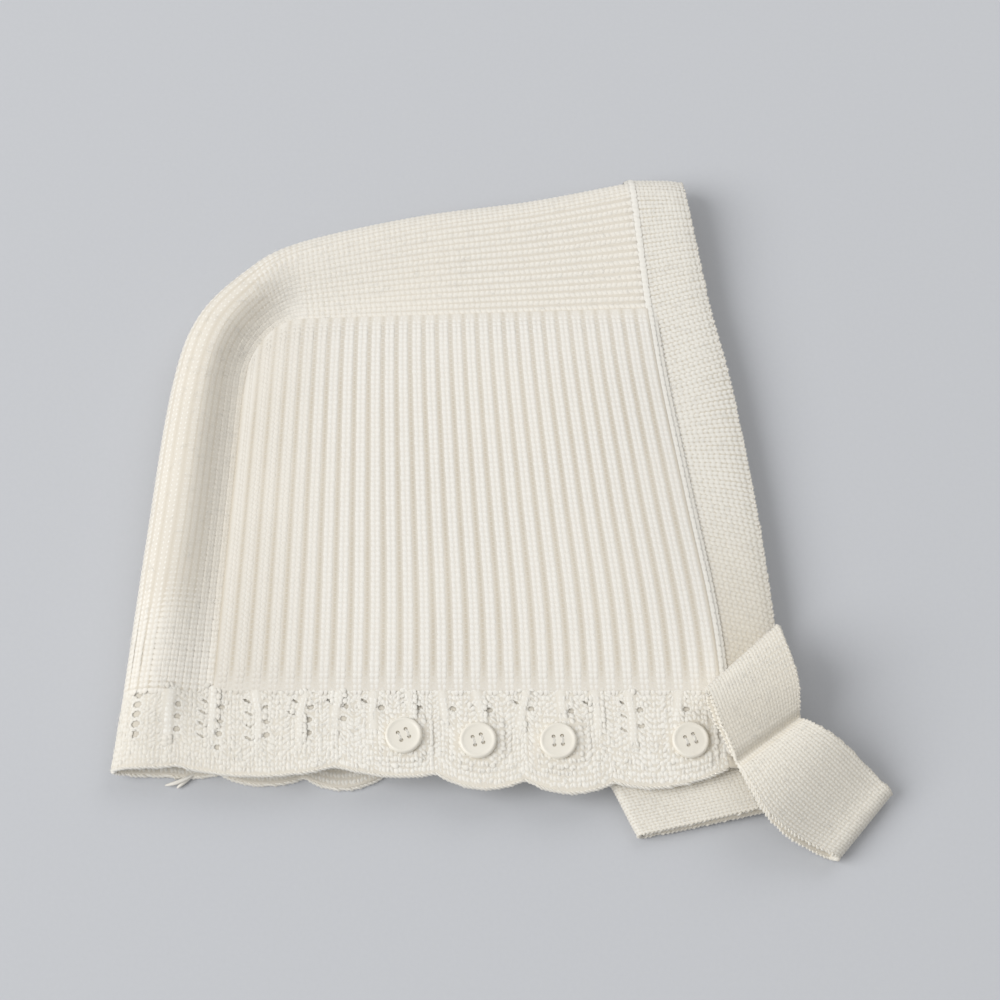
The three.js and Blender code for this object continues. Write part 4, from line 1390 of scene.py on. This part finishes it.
button = {
    "places": [(-24.2, -63.8), (-5.9, -65.1), (13.8, -65.3), (46.3, -65.1)],
    "turns": (0.45, 0.3, 0.1, 0.38),
    "sunk": 0.25,  # how far its back is pressed into the stitches
    # outline from the middle of the back round the rim to the middle of the face: radius, height
    "profile": [(0.0, 0.0), (3.5, 0.0), (4.1, 0.15), (4.5, 0.6), (4.6, 1.1), (4.54, 1.5), (4.38, 1.78),
                (4.12, 1.9), (3.86, 1.88), (3.62, 1.76), (3.2, 1.68), (2.0, 1.66), (0.0, 1.7)],
    "segments": 48,
    "sharpFrom": 40.0,  # degrees
    "holes": 4,
    "holeRadius": 0.48,
    "holeReach": 1.5,
    "holeSegments": 16,
    "drillLength": 8.0,
    "nestRise": 0.55,  # wool that stands up round it
    "nestReach": 5.4,
    "nestWidth": 1.9,
    "threadAside": (-0.14, 0.14),  # two threads side by side
    "threadHalf": (0.15, 0.12),  # half their width and height
    "threadHeight": 1.45,
    "threadArch": 0.3,
    "threadPast": 0.2,  # how far they run on into the holes
    "threadTone": (0.75, 0.2),  # and the painted light that the rounding adds on top
    "plug": (0.7, 0.7, 0.62),  # wool at the bottom of a hole: half its width, length and height
    "plugHeight": 0.9,
    # painted shade of the wool at the bottom of each hole
    "plugShade": 0.2,
    "chartPlace": 0.5,
}


def buttonMesh(name, cutter):
    bm = bmesh.new()
    line = [bm.verts.new((radius, 0, height)) for radius, height in button["profile"]]
    edges = [bm.edges.new(pair) for pair in zip(line, line[1:])]
    bmesh.ops.spin(bm, geom=line + edges, cent=(0, 0, 0), axis=(0, 0, 1), angle=2 * math.pi,
                   steps=button["segments"], use_merge=True)
    bmesh.ops.remove_doubles(bm, verts=bm.verts[:], dist=1e-4)
    bmesh.ops.recalc_face_normals(bm, faces=bm.faces[:])
    bmesh.ops.scale(bm, vec=(mm, mm, mm), verts=bm.verts[:])
    whole = addObject("whole", meshOf(bm, name))
    cut = whole.modifiers.new("holes", "BOOLEAN")
    cut.object = cutter
    cut.solver = "EXACT"
    mesh = bpy.data.meshes.new_from_object(whole.evaluated_get(bpy.context.evaluated_depsgraph_get()))
    bpy.data.objects.remove(whole)
    mesh.name = name
    return mesh


def addCutter():
    bm = bmesh.new()
    radius = button["holeRadius"] * mm
    for hole in range(button["holes"]):
        angle = (hole + 0.5) * 2 * math.pi / button["holes"]
        made = bmesh.ops.create_cone(bm, cap_ends=True, segments=button["holeSegments"], radius1=radius,
                                     radius2=radius, depth=button["drillLength"] * mm)
        reach = Vector((math.cos(angle), math.sin(angle), 0)) * button["holeReach"] * mm
        bmesh.ops.translate(bm, vec=reach, verts=made["verts"])
    return addObject("drill", meshOf(bm, "drill"))


def addButtons(finish, threadFinish):
    cutter = addCutter()
    for i, (x, y) in enumerate(button["places"]):
        node = "button_{}".format(i + 1)
        mesh = buttonMesh(node + "_shell", cutter)
        down = (hemTopY - y) / (hemTopY - float(upperEdgeY(x)))
        seat = Vector((x, y, float(hemTop(x, down)) - button["sunk"]))
        turn = Matrix.Rotation(button["turns"][i], 3, "Z")
        bm = bmesh.new()
        bm.from_mesh(mesh)
        bmesh.ops.rotate(bm, cent=(0, 0, 0), matrix=turn, verts=bm.verts[:])
        bmesh.ops.translate(bm, vec=seat * mm, verts=bm.verts[:])
        bm.to_mesh(mesh)
        bm.free()
        mesh.polygons.foreach_set("use_smooth", [True] * len(mesh.polygons))
        mesh.set_sharp_from_angle(angle=math.radians(button["sharpFrom"]))
        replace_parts(addPiece(node + "_shell", mesh, finish), node)
        addThread(node + "_thread", np.array(seat), np.array(turn), threadFinish)
    bpy.data.objects.remove(cutter)


def addThread(name, seat, turn, finish):
    # two bars of thread through the four holes, and the wool in them, toned dark as painted shade
    pile = YarnPile()
    bx, by, bz = bean["points"].T
    chart = np.full((1, len(bx), 2), button["chartPlace"])
    reach = button["holeReach"] * math.sin(math.pi / 4)
    halfWide, halfHigh = button["threadHalf"]
    plugWide, plugLong, plugHigh = button["plug"]
    tone, rounding = button["threadTone"]
    height = button["threadHeight"] + button["threadArch"] * (1 - bz ** 2) + by * halfHigh
    for aside in (-reach, reach):
        for part in button["threadAside"]:
            local = np.stack([aside + part + bx * halfWide, bz * (reach + button["threadPast"]), height], -1)
            pile.add((local @ turn.T + seat)[None], bean, tone + rounding * by, chart)
        for along in (-reach, reach):
            local = np.stack([aside + bx * plugWide, along + by * plugLong,
                              button["plugHeight"] + bz * plugHigh], -1)
            pile.add((local @ turn.T + seat)[None], bean, button["plugShade"] + 0 * by, chart)
    pile.piece(name, finish, "button_shell")


# bow

ribbonStitch = {"splay": (0.13, 0.36), "reach": 1.35,
                "yarn": 0.42, "plump": 0.14, "rise": 0.05, "tuck": 0.08, "tone": (0.6, 0.95)}

bow = {
    # rows: share from the crease to the fold, left selvage in x and y, right selvage in x and y
    "upper": {"rows": [(0.0, 57.6, -71.6, 73.0, -60.2),
                       (0.5, 52.9, -61.6, 72.2, -51.4),
                       (1.0, 49.8, -53.2, 67.8, -37.0)],
              # the upper loop's end tone is painted shade, where its top slopes away from the light towards
              # the crease
              "length": 22.0, "swell": 4.6, "drooped": False, "outward": -1.0, "endTone": (0.3, 0.68)},
    "lower": {"rows": [(0.0, 57.6, -71.6, 73.0, -60.2),
                       (0.4, 65.3, -84.8, 83.4, -66.8),
                       (1.0, 82.4, -93.2, 96.2, -77.0)],
              "length": 31.0, "swell": 2.4, "drooped": True, "outward": 1.0, "endTone": (0.6, 0.95)},
    "wall": 2.0,
    "backDrop": 1.95,  # how deep its cloth goes
    "faceDrop": 0.18,  # how far below the stitches it lies
    "underArch": 0.25,
    "seat": 11.1,
    "droop": (0.12, 0.95),
    "creaseDip": 1.5,
    "creaseWidth": 3.2,
    "grid": (24, 60),
    "clothTone": 0.4,
    "wales": 13,
    "course": 1.1,
    "extraCourse": [1.0],  # one more, across the crease
    "endFrom": (0.55, 0.85),  # shares of a loop's length where it takes on the tone of its end, painted shade on the upper loop
    "flatSize": (0.0215, 0.118),
    "stitch": ribbonStitch,
    "edge": {"bulge": 0.3, "inset": 0.3, "yarn": 0.62, "slant": 2.0, "lift": -0.05},
    "edgeStep": 1.1,
    "edgeWall": 1.7,
}


def knitRibbon(pile, name, cloth, ribbon, endTone, finish):
    # a plain knitted ribbon: its cloth, its stitches and its two wrapped selvages
    grid = [evenly(count) for count in ribbon["grid"]]
    sides = -ribbon["faceDrop"], -ribbon["backDrop"]
    base = knitSheet(name, cloth, grid, sides, ribbon["clothTone"], finish)
    size = dict(ribbon["stitch"])
    along, size["tall"] = cloth.courses(0.5, ribbon["course"])
    along = np.append(along, ribbon["extraCourse"])
    size["tone"] = blend(size["tone"], endTone, ease(along, *ribbon["endFrom"]))
    for wale in range(ribbon["wales"]):
        across = np.full_like(along, (wale + 0.5) / ribbon["wales"])
        size["wide"] = 1 / cloth.sharePerMm(across, along)[0] / ribbon["wales"]
        layStitches(pile, cloth, across, along, bean, size, flush(size))
    for side in (0.0, 1.0):
        along = cloth.courses(side, ribbon["edgeStep"])[0]
        wrapEdge(pile, cloth, side, along, (2 * side - 1, 0.0), ribbon["edgeWall"], bean, ribbon["edge"])
    return base


def bowLoop(loop):
    rows, length, swell = loop["rows"], loop["length"], loop["swell"]
    height = 2 * bow["wall"] + swell
    radius = height / 2
    foldStart = length - radius
    whole = 2 * foldStart + np.pi * radius

    def surface(across, along):
        walked = along * whole
        under = np.minimum(walked, foldStart)
        turn = np.pi * (np.clip((walked - foldStart) / (np.pi * radius), 0, 1) - 0.5)
        back = np.minimum(1 - (walked - foldStart - np.pi * radius) / foldStart, 1)
        onUnder = walked < foldStart
        onFold = walked < foldStart + np.pi * radius
        out = np.where(onUnder, under, np.where(onFold, foldStart + radius * np.cos(turn), back * foldStart))
        low = bow["underArch"] * np.sin(np.pi * np.clip(under / foldStart, 0, 1))
        top = 2 * bow["wall"] + swell * np.sin(np.pi * np.clip(back, 0, 1) / 2)
        top = top - bow["creaseDip"] * (1 - ease(back * foldStart, 0, bow["creaseWidth"])) ** 2
        z = np.where(onUnder, low, np.where(onFold, radius + radius * np.sin(turn), top))
        share = out / length
        x = between(fromTable(rows, 1, share), fromTable(rows, 3, share), across)
        y = between(fromTable(rows, 2, share), fromTable(rows, 4, share), across)
        drop = ease(share, *bow["droop"]) if loop["drooped"] else 0 * share
        return np.stack([x, y, z + bow["seat"] * (1 - drop)], -1)

    return surface


def addBow(finishes):
    pile = YarnPile()
    bases = []
    for name in ("upper", "lower"):
        loop = bow[name]
        cloth = Cloth(bowLoop(loop), loop["outward"])
        bases.append(knitRibbon(pile, "bow_{}_loop_knit".format(name), cloth, bow, loop["endTone"],
                                finishes["cloth"]))
    stitches = pile.piece("bow_stitches", finishes["yarn"], "bow_knit")
    width, length = bow["flatSize"]
    share = bow["upper"]["length"] / (bow["upper"]["length"] + bow["lower"]["length"])
    for base, part, extra in zip(bases, (share, 1 - share), ([stitches], [])):
        length * part
    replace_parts(bases[0], "bow")


# chin strap

strap = {
    "foldTop": (24.2, -70.7),
    "foldBottom": (33.1, -87.2),
    "endTop": (62.5, -62.6),
    "endBottom": (68.0, -79.8),
    "length": 37.0,
    "wall": 1.7,
    "backDrop": 1.7,
    "faceDrop": 0.18,
    "betweenLayers": 0.4,
    "lift": 2.7,
    "drop": (-87.0, -75.5),
    "grid": (20, 80),
    "clothTone": 0.25,
    "wales": 12,
    "course": 1.1,
    "extraCourse": [],
    "endFrom": (0.5, 1.0),
    "flatSize": (0.0187, 0.0765),
    "stitch": ribbonStitch,
    "edge": {"bulge": 0.3, "inset": 0.3, "yarn": 0.6, "slant": 2.0, "lift": -0.05},
    "edgeStep": 1.1,
    "edgeWall": 1.5,
}


def chinStrap(across, along):
    # from the lower layer's end round the fold to the upper layer's end
    top = 2 * strap["wall"] + strap["betweenLayers"]
    radius = top / 2
    layer = strap["length"] - radius
    walked = along * (2 * layer + np.pi * radius)
    turn = np.clip((walked - layer) / radius, 0, np.pi)
    onLower = walked < layer
    onFold = walked < layer + np.pi * radius
    upper = radius + walked - layer - np.pi * radius
    out = np.where(onLower, strap["length"] - walked, np.where(onFold, radius - radius * np.sin(turn), upper))
    height = np.where(onLower, 0, np.where(onFold, radius - radius * np.cos(turn), top))
    share = out / strap["length"]
    bottomX, bottomY = blend(strap["foldBottom"], strap["endBottom"], share)
    topX, topY = blend(strap["foldTop"], strap["endTop"], share)
    x = between(bottomX, topX, across)
    y = between(bottomY, topY, across)
    return np.stack([x, y, height + strap["lift"] * ease(y, *strap["drop"])], -1)


def addChinStrap(finishes):
    pile = YarnPile()
    base = knitRibbon(pile, "chin_strap_knit", Cloth(chinStrap, -1.0), strap, ribbonStitch["tone"],
                      finishes["cloth"])
    stitches = pile.piece("chin_strap_stitches", finishes["yarn"], "strap_knit")
    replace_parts(base, "chin_strap")


# loose yarn and fuzz

tail = {
    "strands": [((-75.5, -70.6, 1.5), (-79.6, -73.6, 1.9), (-83.6, -73.9, 0.9)),
                ((-76.2, -70.9, 1.2), (-79.0, -73.0, 0.9), (-80.6, -74.6, 0.7))],
    "radius": 0.55,
    "tone": (0.6, 0.3),  # half way up, and the painted light that the top adds
}


def addTail(finish):
    # two ends of yarn that stick out from under the hem
    pile = YarnPile()
    bx, by, bz = tailBean["points"].T
    t = ((bz + 1) / 2)[:, None]
    halfway, topAdds = tail["tone"]
    for start, middle, end in np.array(tail["strands"]):
        path = start * (1 - t) ** 2 + middle * 2 * t * (1 - t) + end * t ** 2
        aside = np.array([end[1] - start[1], start[0] - end[0], 0])
        aside /= np.linalg.norm(aside)
        points = path + tail["radius"] * (bx[:, None] * aside + by[:, None] * np.array([0, 0, 1]))
        chart = np.stack([t[:, 0], (bx + 1) / 2], -1)
        pile.add(points[None], tailBean, halfway + topAdds * by, chart[None])
    pile.piece("yarn_tail", finish, "lace_knit")


fuzz = {
    "fibre": {"yarn": 0.022, "plump": 0.022, "tuck": 0.1, "tone": (1.0, 1.1)},
    "long": (1.2, 3.2),
    "rise": (0.1, 0.6),
    # surface, outward side, count of fibres, part of its width and of its length
    "patches": [
        (upperPanel, 1.0, 500, (0.0, 1.0), (0.0, 1.0)),
        (crownStrip, 1.0, 900, (0.4, 1.0), (0.0, 1.0)),
        (faceBand, 1.0, 350, (0.0, 1.0), (0.0, 0.5)),
        (laceHem, 1.0, 500, (0.0, 0.55), (0.05, 1.0)),
        (bowLoop(bow["upper"]), -1.0, 140, (0.0, 1.0), (0.4, 1.0)),
        (bowLoop(bow["lower"]), 1.0, 140, (0.0, 1.0), (0.4, 1.0)),
        (chinStrap, -1.0, 70, (0.0, 1.0), (0.45, 1.0)),
    ],
}


def addFuzz(finish):
    pile = YarnPile()
    for surface, outward, count, width, length in fuzz["patches"]:
        u, v = dice.uniform(*width, count), dice.uniform(*length, count)
        size = dict(fuzz["fibre"], long=dice.uniform(*fuzz["long"], count))
        size["rise"] = dice.uniform(*fuzz["rise"], (count, 1))
        layStrands(pile, Cloth(surface, outward), u, v, fibreBean, size, dice.uniform(0, np.pi, count))
    pile.piece("wool_fuzz", finish, "rib_knit")


# putting it together

finishTints = {
    "rib_knit": (1.0, 1.0, 1.0),
    "crown_knit": (0.99, 0.985, 0.975),
    "band_knit": (0.985, 0.985, 0.98),
    "lace_knit": (1.0, 1.0, 0.995),
    "bow_knit": (0.985, 0.98, 0.965),
    "strap_knit": (0.99, 0.985, 0.97),
}


def woolPair(slot):
    return {"cloth": woolFinish(slot + "_cloth", finishTints[slot], False),
            "yarn": woolFinish(slot + "_yarn", finishTints[slot], True)}


addStage()
addFloor()
print("stage is set")
ribFinishes = woolPair("rib_knit")
addPanel("side_panel_upper", Cloth(upperPanel, 1.0), panel["upper"], ribFinishes)
addPanel("side_panel_lower", Cloth(lowerPanel, -1.0), panel["lower"], ribFinishes)
addCrownStrip(woolPair("crown_knit"))
addFaceBand(woolPair("band_knit"))
laceFinishes = woolPair("lace_knit")
addLaceHem(laceFinishes)
addButtons(pearlFinish(), laceFinishes["yarn"])
addBow(woolPair("bow_knit"))
addChinStrap(woolPair("strap_knit"))
addTail(laceFinishes["yarn"])
addFuzz(ribFinishes["yarn"])
print("pieces are made")
